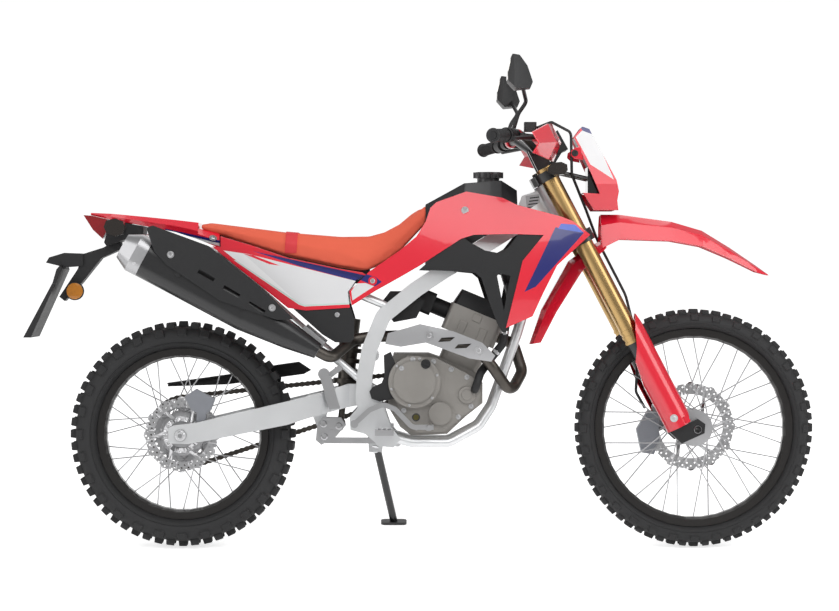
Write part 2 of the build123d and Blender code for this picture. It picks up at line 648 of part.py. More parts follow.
def muffler_plane(distance):
    """A plane across the muffler, with x to the left and y up."""
    return Plane(origin=MUFFLER_START + MUFFLER_AXIS * distance, x_dir=(0, 1, 0), z_dir=MUFFLER_AXIS)


with BuildPart() as muffler:
    sections = []
    for distance, across, deep, corner in MUFFLER_SECTIONS:
        with BuildSketch(muffler_plane(distance)) as section:
            RectangleRounded(across, deep, corner)
        sections.append(section.sketch)
    loft(sections, ruled=True)
finish(muffler, "muffler")

with BuildPart() as muffler_end_cap:
    sections = []
    for distance, across, deep, corner in ((0, 94, 112, 38), (34, 96, 114, 38), (72, 62, 72, 22)):
        with BuildSketch(muffler_plane(MUFFLER_CAP_START + distance)) as section:
            RectangleRounded(across, deep, corner)
        sections.append(section.sketch)
    loft(sections, ruled=True)
    with BuildSketch(muffler_plane(MUFFLER_CAP_START + 50)) as mouth:
        Circle(17)
    extrude(mouth.sketch, amount=40, mode=Mode.SUBTRACT)
finish(muffler_end_cap, "muffler_end_cap")

MUFFLER_SHIELD_OUTLINE = [
    (-88, 905), (-70, 911), (86, 854), (229, 742), (322, 650), (277, 648), (118, 701), (-29, 800), (-66, 838),
]
with BuildPart() as muffler_shield:
    add_skin([(-100, 201, 206, 199), (120, 201, 206, 200), (240, 200, 205, 198), (330, 188, 192, 186)], 630, 930, 3)
    add_slab(MUFFLER_SHIELD_OUTLINE, -230, -150, mode=Mode.INTERSECT)
    for x, z in ((60, 790), (130, 745), (200, 700)):
        add_slab([(x, z), (x + 44, z - 26), (x + 38, z - 36), (x - 6, z - 10)], -230, -150, mode=Mode.SUBTRACT)
    # feet on the muffler's side
    for x, z in ((0, 776), (180, 684)):
        add_disc((x, z), 8, -203, -197 - SEAT_GAP)
finish(muffler_shield, "muffler_shield")

with BuildPart() as radiator:
    # the core stands left of the engine's head, with its hoses
    with BuildSketch(Plane(origin=(935, 102, 745), x_dir=(0, 1, 0), z_dir=(0.96, 0, 0.28))) as core:
        RectangleRounded(88, 190, 6)
    extrude(core.sketch, amount=15, both=True)
    add_tube([(828, cover_face - SIDE_COVER_DEPTH - 1, 452), (828, -136, 452), (844, -122, 498), (870, -92, 532),
              (908, -94, 580), (918, -80, 640), (930, -60, 700), (932, -10, 730), (932, 58, 745)],
             11.5, [13, 24, 24, 30, 40, 34, 24])
finish(radiator, "radiator")


# ---------------------------------------------------------------- rear suspension
ARM_SIDE = [
    (-34, 300), (-34, 342), (-20, 350), (44, 358), (300, 418), (393, 440), (470, 466), (534, 466), (560, 452),
    (560, 424), (534, 412), (470, 400), (390, 380), (300, 352), (68, 306), (20, 298),
]
with BuildPart() as swingarm:
    for side in (-1, 1):
        # plan of one arm: straight beside the wheel, then inside the frame
        plan = [(-40, ARM_INNER), (380, ARM_INNER), (452, 56), (552, 56), (552, ARM_NOSE_OUTER),
                (474, ARM_NOSE_OUTER), (396, ARM_OUTER), (-40, ARM_OUTER)]
        with BuildSketch() as above:
            with BuildLine():
                Polyline(*[(x, side * y) for x, y in plan], close=True)
            make_face()
        arm = extrude(above.sketch, amount=600, mode=Mode.PRIVATE)
        with BuildSketch(MIDDLE) as beside:
            with BuildLine():
                Polyline(*ARM_SIDE, close=True)
            make_face()
        beam = extrude(beside.sketch, amount=-side * (ARM_OUTER + 5), mode=Mode.PRIVATE)
        add(arm & beam)
        # axle's end block and nut
        add_disc(REAR_AXLE, 16, *sorted((side * ARM_OUTER, side * (ARM_OUTER + 8))))
        # spacer between the arm and the hub
        add_disc(REAR_AXLE, 15, *sorted((side * (REAR_HUB_END + BEARING_GAP), side * (ARM_INNER + 1))))
    add_disc(REAR_AXLE, AXLE_RADIUS, -ARM_OUTER - 14, ARM_OUTER + 14)
    add_disc(REAR_AXLE, AXLE_BORE_RADIUS, -ARM_OUTER - 20, ARM_OUTER + 20, mode=Mode.SUBTRACT)
    # bridge ahead of the tyre and the pivot's tube
    add_slab([(352, 372), (352, 428), (396, 438), (404, 384)], -ARM_INNER - 4, ARM_INNER + 4)
    add_disc(PIVOT, 22, -58, 58)
    # lug for the linkage's rocker
    add_slab([(366, 380), (412, 388), (402, 346), (380, 344)], -12, 12)
    add_disc(PIVOT, PIVOT_BOLT_RADIUS + SEAT_GAP, -100, 100, mode=Mode.SUBTRACT)
finish(swingarm, "swingarm")

SHOCK_FOOT = (448.0, 352.0)
SHOCK_HEAD = (486.0, 660.0)
with BuildPart() as shock_absorber:
    foot, head = Vector(SHOCK_FOOT[0], 0, SHOCK_FOOT[1]), Vector(SHOCK_HEAD[0], 0, SHOCK_HEAD[1])
    up = (head - foot).normalized()
    # stacked turns of the damper: start and end along it, and radius
    for start, end, radius in ((0, 70, 9), (66, 78, 30), (110, 230, 24), (222, 236, 32), (230, 300, 21)):
        with BuildSketch(Plane(origin=foot + up * start, z_dir=up)) as section:
            Circle(radius)
        extrude(section.sketch, amount=end - start)
    add_disc(SHOCK_FOOT, 14, -12, 12)
    for turn in range(5):
        with BuildSketch(Plane(origin=foot + up * (84 + 30 * turn), z_dir=up)) as section:
            Circle(36)
        extrude(section.sketch, amount=12)
    with BuildSketch(Plane(origin=foot + up * 60, z_dir=up)) as section:
        Circle(20)
    extrude(section.sketch, amount=170)
finish(shock_absorber, "shock_absorber")

with BuildPart() as shock_linkage:
    # rocker below the arm and its pull rods
    for side in (-1, 1):
        near, far = sorted((side * (12 + SEAT_GAP), side * 24))
        add_slab([(382, 344), (396, 368), (450, 368), (464, 346), (434, 312), (394, 290), (378, 304)], near, far)
    for point in ((396, 302), (424, 326)):
        add_disc(point, 8, -28, 28)
    add_strap([(396, 302), (598.5, 301)], 0, 16, -12, 12)
finish(shock_linkage, "shock_linkage")

with BuildPart() as chain_guard:
    guard = [(-53, 452), (-53, 463), (139, 490), (262, 515), (326, 524), (362, 500), (340, 488), (120, 458)]
    add_slab(guard, CHAIN_OFFSET + 12, CHAIN_OFFSET + 15)
    add_slab([(-53, 459), (-53, 463), (139, 490), (262, 515), (326, 524), (330, 520), (262, 511), (139, 486)],
             CHAIN_OFFSET - 8, CHAIN_OFFSET + 13)
    # stay down to the swingarm
    add_slab([(250, 406.8), (270, 411.5), (276, 500), (256, 496)], CHAIN_OFFSET + 14.5, CHAIN_OFFSET + 19)
finish(chain_guard, "chain_guard")

with BuildPart() as rear_caliper:
    caliper = [(10, 430), (42, 452), (96, 424), (84, 392), (62, 376), (30, 392)]
    low = REAR_DISC_OFFSET - DISC_THICKNESS / 2 - PAD_GAP
    high = REAR_DISC_OFFSET + DISC_THICKNESS / 2 + PAD_GAP
    add_slab(caliper, low - 15, high + 8)
    add_slab([(-60, 322), (-60, 560), (200, 560), (200, 322)], low, high, mode=Mode.INTERSECT)
    add_disc(REAR_AXLE, REAR_DISC_RADIUS + DISC_EDGE_GAP, low - 1, high + 1, mode=Mode.SUBTRACT)
    add_slab(caliper, low - 15, low)
    add_slab(caliper, high, high + 8)
    # carrier down to the swingarm
    add_slab([(44, 359), (70, 366), (70, 392), (44, 392)], low - 15, low - 3)
finish(rear_caliper, "rear_caliper")


# ---------------------------------------------------------------- controls and pegs on the frame
with BuildPart() as foot_controls:
    add_strap([(485, 352), (533, 396), (571, 411), (604, 398), (652, 347), (712, 347)], [30, 24, 24, 24], 14,
              -152, -144)
    add_disc((700, 347), 8, -186, -144)
    add_tube([(490, -SPAR_OUTER - SEAT_GAP, 356), (490, -153, 356)], 11)
    # rear master cylinder
    add_slab([(394, 484), (424, 490), (450, 400), (420, 396)], -150, -126)
    add_disc((404, 496), 16, -150, -126)
    add_strap([(410, 484), (452, 515)], 0, 16, -128, -105.9)
    # gear lever on the left
    add_tube([(628, CASE_HALF_WIDTH - 20 + SEAT_GAP, 366), (628, 152, 366)], 7)
    add_strap([(628, 366), (712, 344)], 0, 13, 144, 152)
    add_disc((706, 345), 8, 144, 184)
finish(foot_controls, "foot_controls")

with BuildPart() as footpegs:
    for side in (-1, 1):
        near, far = sorted((side * (SPAR_OUTER + SEAT_GAP), side * 200))
        add_slab([(548, 326), (548, 342), (600, 342), (600, 326)], near, far)
        for x in (560, 574, 588):
            low, high = sorted((side * 132, side * 196))
            add_slab([(x - 4, 320), (x - 4, 350), (x + 4, 350), (x + 4, 320)], low, high, mode=Mode.SUBTRACT)
        # folded passenger peg and its bracket on the tail frame
        near, far = sorted((side * 104.6, side * 118))
        add_strap([(402, 576), (344, 624)], 0, 22, near, far)
finish(footpegs, "footpegs")


# ---------------------------------------------------------------- tank, seat and body panels
# tank: x, bottom, top, half-widths at the bottom, shoulder and top
TANK_STATIONS = [
    (690.4, 800, 974, 74, 86, 44), (800, 848, 1034, 84, 96, 56),
    (905, 913, 1042, 84, 94, 54), (950, 941, 1014, 66, 74, 40),
]
CAP_CENTRE = (870.0, 1043.0)
with BuildPart() as fuel_tank:
    add_hull(TANK_STATIONS, 0.5)
    with BuildSketch(Plane.XY.offset(1030)) as neck:
        with Locations((CAP_CENTRE[0], 0)):
            Circle(32)
    extrude(neck.sketch, amount=20)
    with BuildSketch(Plane.XY.offset(1050)) as cap:
        with Locations((CAP_CENTRE[0], 0)):
            Circle(38)
            with PolarLocations(38, 8):
                Circle(5)
    extrude(cap.sketch, amount=17)
finish(fuel_tank, "fuel_tank")

# seat: x, bottom, top, half-widths at the bottom, shoulder and top
SEAT_STATIONS = [
    (52, 906, 922, 66, 72, 60), (110, 890, 914, 82, 88, 74), (300, 830, 890, 104, 108, 92),
    (450, 798, 878, 106, 108, 90), (530, 786, 879, 104, 104, 84), (575, 812, 891, 96, 96, 76),
    (618, 848, 914, 86, 86, 66), (690, 925, 976, 66, 64, 46),
]
with BuildPart() as seat:
    add_hull(SEAT_STATIONS, 0.55)
finish(seat, "seat")

# half-widths of the body along the bike: x, at the foot, at the middle and at the head of the panels
BODY_STATIONS = [
    (460, 120, 126, 112), (560, 122, 130, 112), (700, 134, 146, 112), (850, 152, 166, 118),
    (1000, 160, 178, 132), (1155, 166, 178, 150),
]
BODY_FOOT, BODY_HEAD = 600.0, 1050.0
SHROUD_OUTLINE = [
    (475, 728), (531, 783), (618, 843), (664, 882), (690, 924), (703, 962), (720, 978), (804, 1008), (905, 990),
    (945, 970), (1068, 937), (1101, 924), (1149, 886), (1056, 800), (1017, 722), (988, 658), (914, 625),
    (960, 813), (1019, 885), (932, 888), (824, 886), (789, 875), (755, 853), (678, 803), (618, 768), (548, 729),
    (482, 688),
]
INNER_COVER_OUTLINE = [
    (672, 788), (756, 862), (792, 884), (812, 866), (856, 842), (893, 835), (919, 849), (956, 896), (1026, 890),
    (972, 812), (926, 640), (914, 612), (904, 614), (889, 639), (867, 698), (845, 765), (828, 779), (778, 784),
]
INNER_COVER_WINDOW = [(889, 771), (896, 778), (926, 771), (908, 674)]
with BuildPart() as shrouds:
    add_skin(BODY_STATIONS, BODY_FOOT, BODY_HEAD, PANEL_WALL)
    add_slab(SHROUD_OUTLINE, -260, 0, mode=Mode.INTERSECT)
    # boss that rests on the tank's side
    add_disc((800, 955), 8, -142, -97)
    mirror(about=Plane.XZ)
finish(shrouds, "shrouds")

# the inner covers stand a wall inside the shrouds, with lugs that the shrouds' bolts reach
with BuildPart() as inner_covers:
    add_skin(BODY_STATIONS, BODY_FOOT, BODY_HEAD, PANEL_WALL, inset=PANEL_WALL + SEAT_GAP)
    add_slab(INNER_COVER_OUTLINE, -260, 0, mode=Mode.INTERSECT)
    add_slab(INNER_COVER_WINDOW, -260, 0, mode=Mode.SUBTRACT)
    # boss that rests on the frame's spar
    add_disc((766, 806), 7, -148, -109)
    mirror(about=Plane.XZ)
finish(inner_covers, "inner_covers")

# side covers: x, half-widths at their foot, middle and head
SIDE_STATIONS = [(80, 98, 108, 96), (200, 110, 120, 112), (350, 118, 128, 120), (530, 121, 127, 122)]
SIDE_FOOT, SIDE_HEAD = 540.0, 870.0
SIDE_OUTLINE = [(88, 855), (207, 842), (500, 766), (471, 726), (477, 682), (352, 674), (303, 681), (114, 833)]
LOWER_OUTLINE = [(303, 692), (352, 684), (476, 692), (489, 650), (489, 596), (480, 584), (436, 584), (400, 606)]
with BuildPart() as side_covers:
    add_skin(SIDE_STATIONS, SIDE_FOOT, SIDE_HEAD, PANEL_WALL)
    add_slab(SIDE_OUTLINE, -260, 0, mode=Mode.INTERSECT)
    # boss that rests on the tail frame's rail
    add_disc((300, 796), 7, -123, -99)
    mirror(about=Plane.XZ)
finish(side_covers, "side_covers")

with BuildPart() as lower_covers:
    add_skin(SIDE_STATIONS, SIDE_FOOT, SIDE_HEAD, PANEL_WALL, inset=PANEL_WALL + SEAT_GAP)
    add_slab(LOWER_OUTLINE, -260, 0, mode=Mode.INTERSECT)
    mirror(about=Plane.XZ)
    # cover behind the clutch
    add_slab([(572, 548), (592, 558), (614, 500), (614, 440), (600, 426), (560, 418), (538, 426), (532, 446),
              (540, 458), (566, 470), (574, 490)], -SPAR_OUTER - 12, -SPAR_OUTER - SEAT_GAP)
    add_disc(CLUTCH, CLUTCH_RADIUS + 1, -SPAR_OUTER - 30, -SPAR_OUTER, mode=Mode.SUBTRACT)
finish(lower_covers, "lower_covers")

# tail: x, bottom, top, half-widths at the bottom, shoulder and top
TAIL_STATIONS = [
    (-262, 944, 951, 26, 30, 24), (-200, 930, 948, 50, 54, 40), (-97, 911, 938, 66, 74, 58),
    (-20, 896, 930, 76, 86, 66), (48, 874, 922, 84, 96, 72),
]
with BuildPart() as tail_cowl:
    add_hull(TAIL_STATIONS, 0.5)
    add_hull([(47, 874, 905.6, 84, 94, 70), (108, 850, 890, 84, 92, 74)], 0.5)
    # hollow below, over the tail frame
    add_hull([(-160, 860, 918, 56, 56, 44), (-20, 850, 916, 66, 66, 52), (120, 820, 876, 76, 76, 62)], 0.5,
             Mode.SUBTRACT)
finish(tail_cowl, "tail_cowl")

with BuildPart() as tail_light:
    add_slab([(-281, 944), (-256, 942.1), (-212, 932.2), (-215, 899), (-227, 877), (-254, 902)], -46, 46)
finish(tail_light, "tail_light")

with BuildPart() as rear_mudguard:
    add_slab([(-206, 929), (-212, 898), (-221, 866), (-214, 856), (-163, 874), (-110, 882), (-110, 912.5)], -62, 62)
    add_slab([(-183, 876), (-170, 850), (-232, 822), (-288, 752), (-337, 700), (-352, 712), (-300, 790),
              (-284, 834), (-227, 852)], -28, 28)
    add_slab([(-341, 802), (-337, 790), (-424, 597), (-446, 597), (-363, 752), (-352, 790)], -92, 92)
    add_slab([(-389, 809), (-380, 824), (-337, 837), (-284, 835), (-284, 800), (-336, 796)], -36, 36)
    add_disc((-306, 728), 26, -44, -34)
    add_disc((-306, 728), 8, -36, -20)
finish(rear_mudguard, "rear_mudguard")

with BuildPart() as rear_signals:
    for side in (-1, 1):
        near, far = sorted((side * (62 + SEAT_GAP), side * 104))
        add_disc((-176, 897), 8, near, far)
        near, far = sorted((side * 100, side * 150))
        add_slab([(-212, 908), (-206, 926), (-180, 932), (-158, 924), (-153, 904), (-160, 888), (-182, 882),
                  (-204, 890)], near, far)
finish(rear_signals, "rear_signals")


# ---------------------------------------------------------------- fork and clamps
AXLE_LUG = [(-22, 70), (-24, 31), (-31, 27), (-16, -14), (54, -18), (68, 4), (56, 27), (28, 28), (26, 70)]
LEG_TOP = FORK_TUBE_END - SEAT_GAP
LUG_INNER = 78.0
LUG_OUTER = 122.0
with BuildPart() as fork_tubes:
    for side in (-1, 1):
        for start, end, radius in ((FORK_TUBE_END, FORK_TUBE_TOP, FORK_TUBE_RADIUS), (300, 308, 28.5), (318, 325, 28),
                                   (334, 341, 28)):
            with BuildSketch(Plane(origin=fork_point(0, start, side * FORK_HALF_SPACING), z_dir=FORK_UP)) as section:
                Circle(radius)
            extrude(section.sketch, amount=end - start)
finish(fork_tubes, "fork_tubes")

with BuildPart() as fork_legs:
    for side in (-1, 1):
        foot = fork_point(0, 30, side * FORK_HALF_SPACING)
        with BuildSketch(Plane(origin=foot, z_dir=FORK_UP)) as section:
            Circle(FORK_LEG_RADIUS)
        extrude(section.sketch, amount=LEG_TOP - 30)
        near, far = sorted((side * LUG_INNER, side * LUG_OUTER))
        add_slab(AXLE_LUG, near, far, plane=FORK_SIDE)
    # the axle, with a spacer on each side of the hub
    add_disc(FRONT_AXLE, AXLE_RADIUS, -LUG_OUTER - 3, LUG_OUTER + 3)
    add_disc(FRONT_AXLE, 15, -LUG_INNER - 1, -FRONT_HUB_END + 20 - BEARING_GAP)
    add_disc(FRONT_AXLE, 15, FRONT_HUB_END + BEARING_GAP, LUG_INNER + 1)
    add_disc(FRONT_AXLE, AXLE_BORE_RADIUS, -LUG_OUTER - 20, LUG_OUTER + 20, mode=Mode.SUBTRACT)
finish(fork_legs, "fork_legs")

GUARD_OUTLINE = [(37, 372), (14, 330), (-4, 286), (-26, 250), (-36, 176), (-36, 30), (30, 30), (44, 60), (44, 330)]
with BuildPart() as fork_guards:
    for side in (-1, 1):
        plane = Plane(origin=fork_point(0, 0), x_dir=FORK_AHEAD, z_dir=FORK_UP)
        with BuildSketch(plane) as section:
            with Locations((3, side * FORK_HALF_SPACING)):
                Circle(GUARD_RADIUS)
                Circle(GUARD_RADIUS - GUARD_WALL, mode=Mode.SUBTRACT)
            with Locations((-30, side * (FORK_HALF_SPACING - 50))):
                Rectangle(120, 84, mode=Mode.SUBTRACT)
        shell = extrude(section.sketch, amount=400, mode=Mode.PRIVATE)
        with BuildSketch(FORK_SIDE.offset(-200)) as beside:
            with BuildLine():
                Polyline(*GUARD_OUTLINE, close=True)
            make_face()
        trim = extrude(beside.sketch, amount=400, mode=Mode.PRIVATE)
        add(shell & trim)
        # foot that bolts to the axle's lug
        near, far = sorted((side * (LUG_OUTER + SEAT_GAP), side * (FORK_HALF_SPACING + GUARD_RADIUS - 1)))
        add_slab([(19, 32), (19, 52), (34, 52), (34, 32)], near, far, plane=FORK_SIDE)
finish(fork_guards, "fork_guards")

CLAMP_BORE = FORK_TUBE_RADIUS + SEAT_GAP
with BuildPart() as triple_clamps:
    for low, high, front in ((LOWER_CLAMP[0], LOWER_CLAMP[1], 34), (UPPER_CLAMP[0], UPPER_CLAMP[1], 26)):
        plane = Plane(origin=fork_point(0, low), x_dir=FORK_AHEAD, z_dir=FORK_UP)
        with BuildSketch(plane) as section:
            with Locations((0, -FORK_HALF_SPACING), (0, FORK_HALF_SPACING)):
                Circle(FORK_TUBE_RADIUS + 11)
            with BuildLine():
                Polyline((-46, -40), (-30, -FORK_HALF_SPACING), (30, -FORK_HALF_SPACING), (front, -40), (front, 40),
                         (30, FORK_HALF_SPACING), (-30, FORK_HALF_SPACING), (-46, 40), close=True)
            make_face()
            with Locations((0, -FORK_HALF_SPACING), (0, FORK_HALF_SPACING)):
                Circle(CLAMP_BORE, mode=Mode.SUBTRACT)
        extrude(section.sketch, amount=high - low)
    with BuildSketch(Plane(origin=fork_point(-CLAMP_OFFSET, LOWER_CLAMP[0] - 8), z_dir=FORK_UP)) as stem:
        Circle(STEM_RADIUS)
    extrude(stem.sketch, amount=UPPER_CLAMP[1] + 16 - LOWER_CLAMP[0])
    # clamps that hold the bar
    top = fork_point(6, UPPER_CLAMP[1])
    x, z = BAR_CENTRE
    for side in (-1, 1):
        near, far = sorted((side * 30, side * 52))
        add_slab([(top.X - 20, top.Z - 10.9), (top.X + 20, top.Z + 9.9), (x + 22, z), (x + 18, z + 18),
                  (x - 16, z + 18), (x - 22, z)], near, far)
        add_disc(BAR_CENTRE, BAR_RADIUS + SEAT_GAP, near, far, mode=Mode.SUBTRACT)
finish(triple_clamps, "triple_clamps")


# ---------------------------------------------------------------- handlebar
GRIP_INNER, GRIP_OUTER = 292.0, 412.0
bar_rise = [(BAR_CENTRE[0], 70, BAR_CENTRE[1]), (957, 176, 1165), (868, GRIP_OUTER, 1150)]
BAR_ROUTE = [(x, -y, z) for x, y, z in reversed(bar_rise)] + bar_rise
bar_end = Vector(*bar_rise[2])
bar_run = (bar_end - Vector(*bar_rise[1])).normalized()


def bar_point(y, side):
    """A point on the straight outer stretch of the bar."""
    share = (y - GRIP_OUTER) / bar_run.Y
    place = bar_end + bar_run * share
    return Vector(place.X, side * place.Y, place.Z)


def add_bar_sleeve(y_low, y_high, side, radius):
    """A sleeve round the bar."""
    start, end = bar_point(y_low, side), bar_point(y_high, side)
    with BuildSketch(Plane(origin=start, z_dir=end - start)) as section:
        Circle(radius)
        Circle(BAR_RADIUS + SEAT_GAP, mode=Mode.SUBTRACT)
    extrude(section.sketch, amount=(end - start).length)


with BuildPart() as handlebar:
    add_tube(BAR_ROUTE, BAR_RADIUS, 50)
finish(handlebar, "handlebar")


with BuildPart() as hand_controls:
    for side in (-1, 1):
        add_bar_sleeve(GRIP_INNER, GRIP_OUTER - 2, side, GRIP_RADIUS)
        add_bar_sleeve(GRIP_INNER - 30, GRIP_INNER + 0.5, side, 20)
        add_bar_sleeve(GRIP_INNER - 62, GRIP_INNER - 42, side, 17)
        # lever's perch ahead of the bar, and the lever
        hub = bar_point(GRIP_INNER - 52, side) + Vector(21, 0, -3)
        with BuildSketch(Plane(origin=hub - Vector(4, 0, 0), z_dir=(1, 0, -0.15))) as section:
            RectangleRounded(18, 22, 4)
        extrude(section.sketch, amount=34)
        tip = bar_point(GRIP_OUTER - 20, side) + Vector(50, 0, -8)
        add_tube([hub + Vector(24, 0, -3), hub + Vector(42, side * 40, -6), tip], 5.5, 20)
    # front brake's fluid box on the right
    box = bar_point(GRIP_INNER - 70, -1) + Vector(39, 0, 8.5)
    with BuildSketch(Plane(origin=box, x_dir=(0, 1, 0), z_dir=(0, 0, 1))) as section:
        RectangleRounded(44, 34, 6)
    extrude(section.sketch, amount=26)
finish(hand_controls, "hand_controls")

with BuildPart() as knuckle_guards:
    for side in (-1, 1):
        sections = []
        # the guard's upright sections: distance out, then its rear and front edges
        for y, outline in (
            (206, [(1040, 1194), (1066, 1140), (1044, 1088)]),
            (300, [(1024, 1188), (1048, 1138), (1026, 1090)]),
            (396, [(978, 1160), (996, 1130), (980, 1104)]),
        ):
            with BuildSketch(MIDDLE.offset(-side * y)) as section:
                with BuildLine():
                    Polyline(*outline, *[(x - 4, z) for x, z in reversed(outline)], close=True)
                make_face()
            sections.append(section.sketch)
        loft(sections, ruled=True)
        # clamp on the bar and its strut
        add_bar_sleeve(206, 218, side, 16)
        root = bar_point(212, side) + Vector(14.5, 0, 0)
        add_tube([root, Vector(1058, root.Y, 1152)], 5)
finish(knuckle_guards, "knuckle_guards")

MIRROR_OUTLINE = [(920, 1368), (909, 1322), (909, 1298), (930, 1276), (970, 1278), (977, 1295), (962, 1338), (940, 1366)]
MIRROR_PLAN = [(905, 338), (905, 430), (925, 446), (985, 400), (985, 368), (925, 322)]
with BuildPart() as mirrors:
    for side in (-1, 1):
        # the shell narrows forward, seen from above
        with BuildSketch(Plane.XY.offset(1260)) as above:
            with BuildLine():
                Polyline(*[(x, side * y) for x, y in MIRROR_PLAN], close=True)
            make_face()
        with BuildSketch(MIDDLE.offset(-500)) as beside:
            with BuildLine():
                Polyline(*MIRROR_OUTLINE, close=True)
            make_face()
        add(extrude(above.sketch, amount=120, mode=Mode.PRIVATE) & extrude(
            beside.sketch, amount=1000, mode=Mode.PRIVATE))
        root = bar_point(GRIP_INNER - 52, side) + Vector(0, 0, 18.6)
        add_tube([root, root + Vector(12, 0, 40), Vector(966, side * 262, 1250), Vector(948, side * 362, 1298)], 5.5,
                 [30, 30])
finish(mirrors, "mirrors")


# ---------------------------------------------------------------- headlight and instruments
COWL_OUTLINE = [
    (1134, 1195), (1154, 1188), (1191, 1114), (1229, 1041), (1236, 1010), (1232, 984), (1236, 957), (1166, 957),
    (1134, 1006), (1182, 1003), (1158, 1058), (1110, 1162),
]
COWL_FRONT = [
    (-58, 1200), (58, 1200), (88, 1110), (98, 1030), (72, 950), (-72, 950), (-98, 1030), (-88, 1110),
]
COWL_WALL = 4.0


def cowl_block(shift, inset):
    """The cowl's whole form, moved back and with its sides moved in."""
    with BuildSketch(MIDDLE.offset(-150)) as beside:
        with BuildLine():
            Polyline(*[(x - shift, z) for x, z in COWL_OUTLINE], close=True)
        make_face()
    with BuildSketch(Plane(origin=(1000, 0, 0), x_dir=(0, 1, 0), z_dir=(1, 0, 0))) as ahead:
        with BuildLine():
            Polyline(*COWL_FRONT, close=True)
        make_face()
        if inset:
            offset(amount=-inset, mode=Mode.REPLACE)
    return extrude(beside.sketch, amount=300, mode=Mode.PRIVATE) & extrude(
        ahead.sketch, amount=400, mode=Mode.PRIVATE)


LENS_OUTLINE = [(1192, 1096), (1219, 1040), (1224, 1004), (1150, 1004), (1150, 1080), (1168, 1096)]
LENS_HALF_WIDTH = 56.0
with BuildPart() as headlight_cowl:
    add(cowl_block(0, 0))
    add(cowl_block(9, COWL_WALL), mode=Mode.SUBTRACT)
    with BuildSketch(Plane.YZ.offset(1140)) as window:
        with Locations((0, 1050)):
            Rectangle(2 * LENS_HALF_WIDTH + 2, 94)
    extrude(window.sketch, amount=120, mode=Mode.SUBTRACT)
finish(headlight_cowl, "headlight_cowl")

with BuildPart() as headlight:
    add_slab(LENS_OUTLINE, -LENS_HALF_WIDTH, LENS_HALF_WIDTH)
    for side in (-1, 1):
        add_tube([(1160, side * 36, 1046), fork_point(30.4, 828, side * 36)], 6)
finish(headlight, "headlight")

with BuildPart() as meter:
    add_slab([(1066, 1118), (1040, 1168), (1064, 1184), (1094, 1130)], -70, 70)
    for side in (-1, 1):
        near, far = sorted((side * 58, side * 64))
        foot = fork_point(16, UPPER_CLAMP[1] + SEAT_GAP)
        add_slab([(foot.X - 7, foot.Z - 3.6), (foot.X + 7, foot.Z + 3.7), (1082, 1130), (1064, 1124)], near, far)
finish(meter, "meter")

with BuildPart() as front_signals:
    for side in (-1, 1):
        place = fork_point(4, 832)
        near, far = sorted((side * (FORK_HALF_SPACING + FORK_TUBE_RADIUS + 11 + SEAT_GAP), side * 158))
        add_disc((place.X, place.Z), 6, near, far)
        near, far = sorted((side * 152, side * 192))
        add_slab([(place.X + x, place.Z + z) for x, z in ((-8, 2), (-6, 16), (8, 27), (30, 29), (46, 22), (48, 6),
                                                          (38, -6), (8, -8))], near, far)
finish(front_signals, "front_signals")


# ---------------------------------------------------------------- front fender, caliper and hose
# arched sections: place of the crown, turn from upright, half-width and depth
FENDER_STATIONS = [
    (1668, 776, 0, 16, 4), (1632, 802, 0, 34, 20), (1556, 854, 0, 50, 34), (1477, 903, 0, 62, 49),
    (1390, 929, 0, 67, 59), (1242, 950, 0, 70, 75), (1188, 952, 0, 70, 104),
]
FENDER_REAR_STATIONS = [
    (1200, 880, 5, 70, 30), (1140, 848, 30, 69, 42), (1095, 815, 47, 66, 50), (1018, 676, 80, 60, 44),
    (984, 576, 100, 50, 34),
]
FENDER_WALL = 3.5


def add_arch(stations, wall):
    """A thin arched shell lofted straight through its sections."""
    sections = []
    for x, z, turn, half, depth in stations:
        angle = math.radians(turn)
        plane = Plane(origin=(x, 0, z), x_dir=(0, 1, 0), z_dir=(math.cos(angle), 0, math.sin(angle)))
        outer = [(-half, -depth), (-0.84 * half, -0.36 * depth), (-0.4 * half, -0.06 * depth)]
        inner = [(-half + wall, -depth), (-0.84 * half + wall, -0.36 * depth - wall * 0.6),
                 (-0.4 * half, -0.06 * depth - wall)]
        outline = outer + [(-y, d) for y, d in reversed(outer)] + [(-y, d) for y, d in inner] + inner[::-1]
        with BuildSketch(plane) as section:
            with BuildLine():
                Polyline(*outline, close=True)
            make_face()
        sections.append(section.sketch)
    loft(sections, ruled=True)


with BuildPart() as front_fender:
    add_arch(FENDER_STATIONS, FENDER_WALL)
    add_arch(FENDER_REAR_STATIONS, FENDER_WALL)
    # boss under the lower clamp
    start = fork_point(14, 590)
    with BuildSketch(Plane(origin=start, z_dir=FORK_UP)) as boss:
        Circle(12)
    extrude(boss.sketch, amount=LOWER_CLAMP[0] - SEAT_GAP - 590)
finish(front_fender, "front_fender")

with BuildPart() as front_caliper:
    caliper = [(1332, 386), (1360, 378), (1364, 300), (1348, 258), (1312, 264), (1298, 330)]
    low = FRONT_DISC_OFFSET - DISC_THICKNESS / 2 - PAD_GAP
    high = FRONT_DISC_OFFSET + DISC_THICKNESS / 2 + PAD_GAP
    add_slab(caliper, low, high)
    add_disc(FRONT_AXLE, FRONT_DISC_RADIUS + DISC_EDGE_GAP, low - 1, high + 1, mode=Mode.SUBTRACT)
    add_slab(caliper, low - 10, low)
    add_slab(caliper, high, high + 20)
    # arm to the axle's lug
    add_slab([(-66, 60), (-23.5, 58), (-24.5, 38), (-66, 30)], LUG_INNER + 1, high + 20, plane=FORK_SIDE)
finish(front_caliper, "front_caliper")

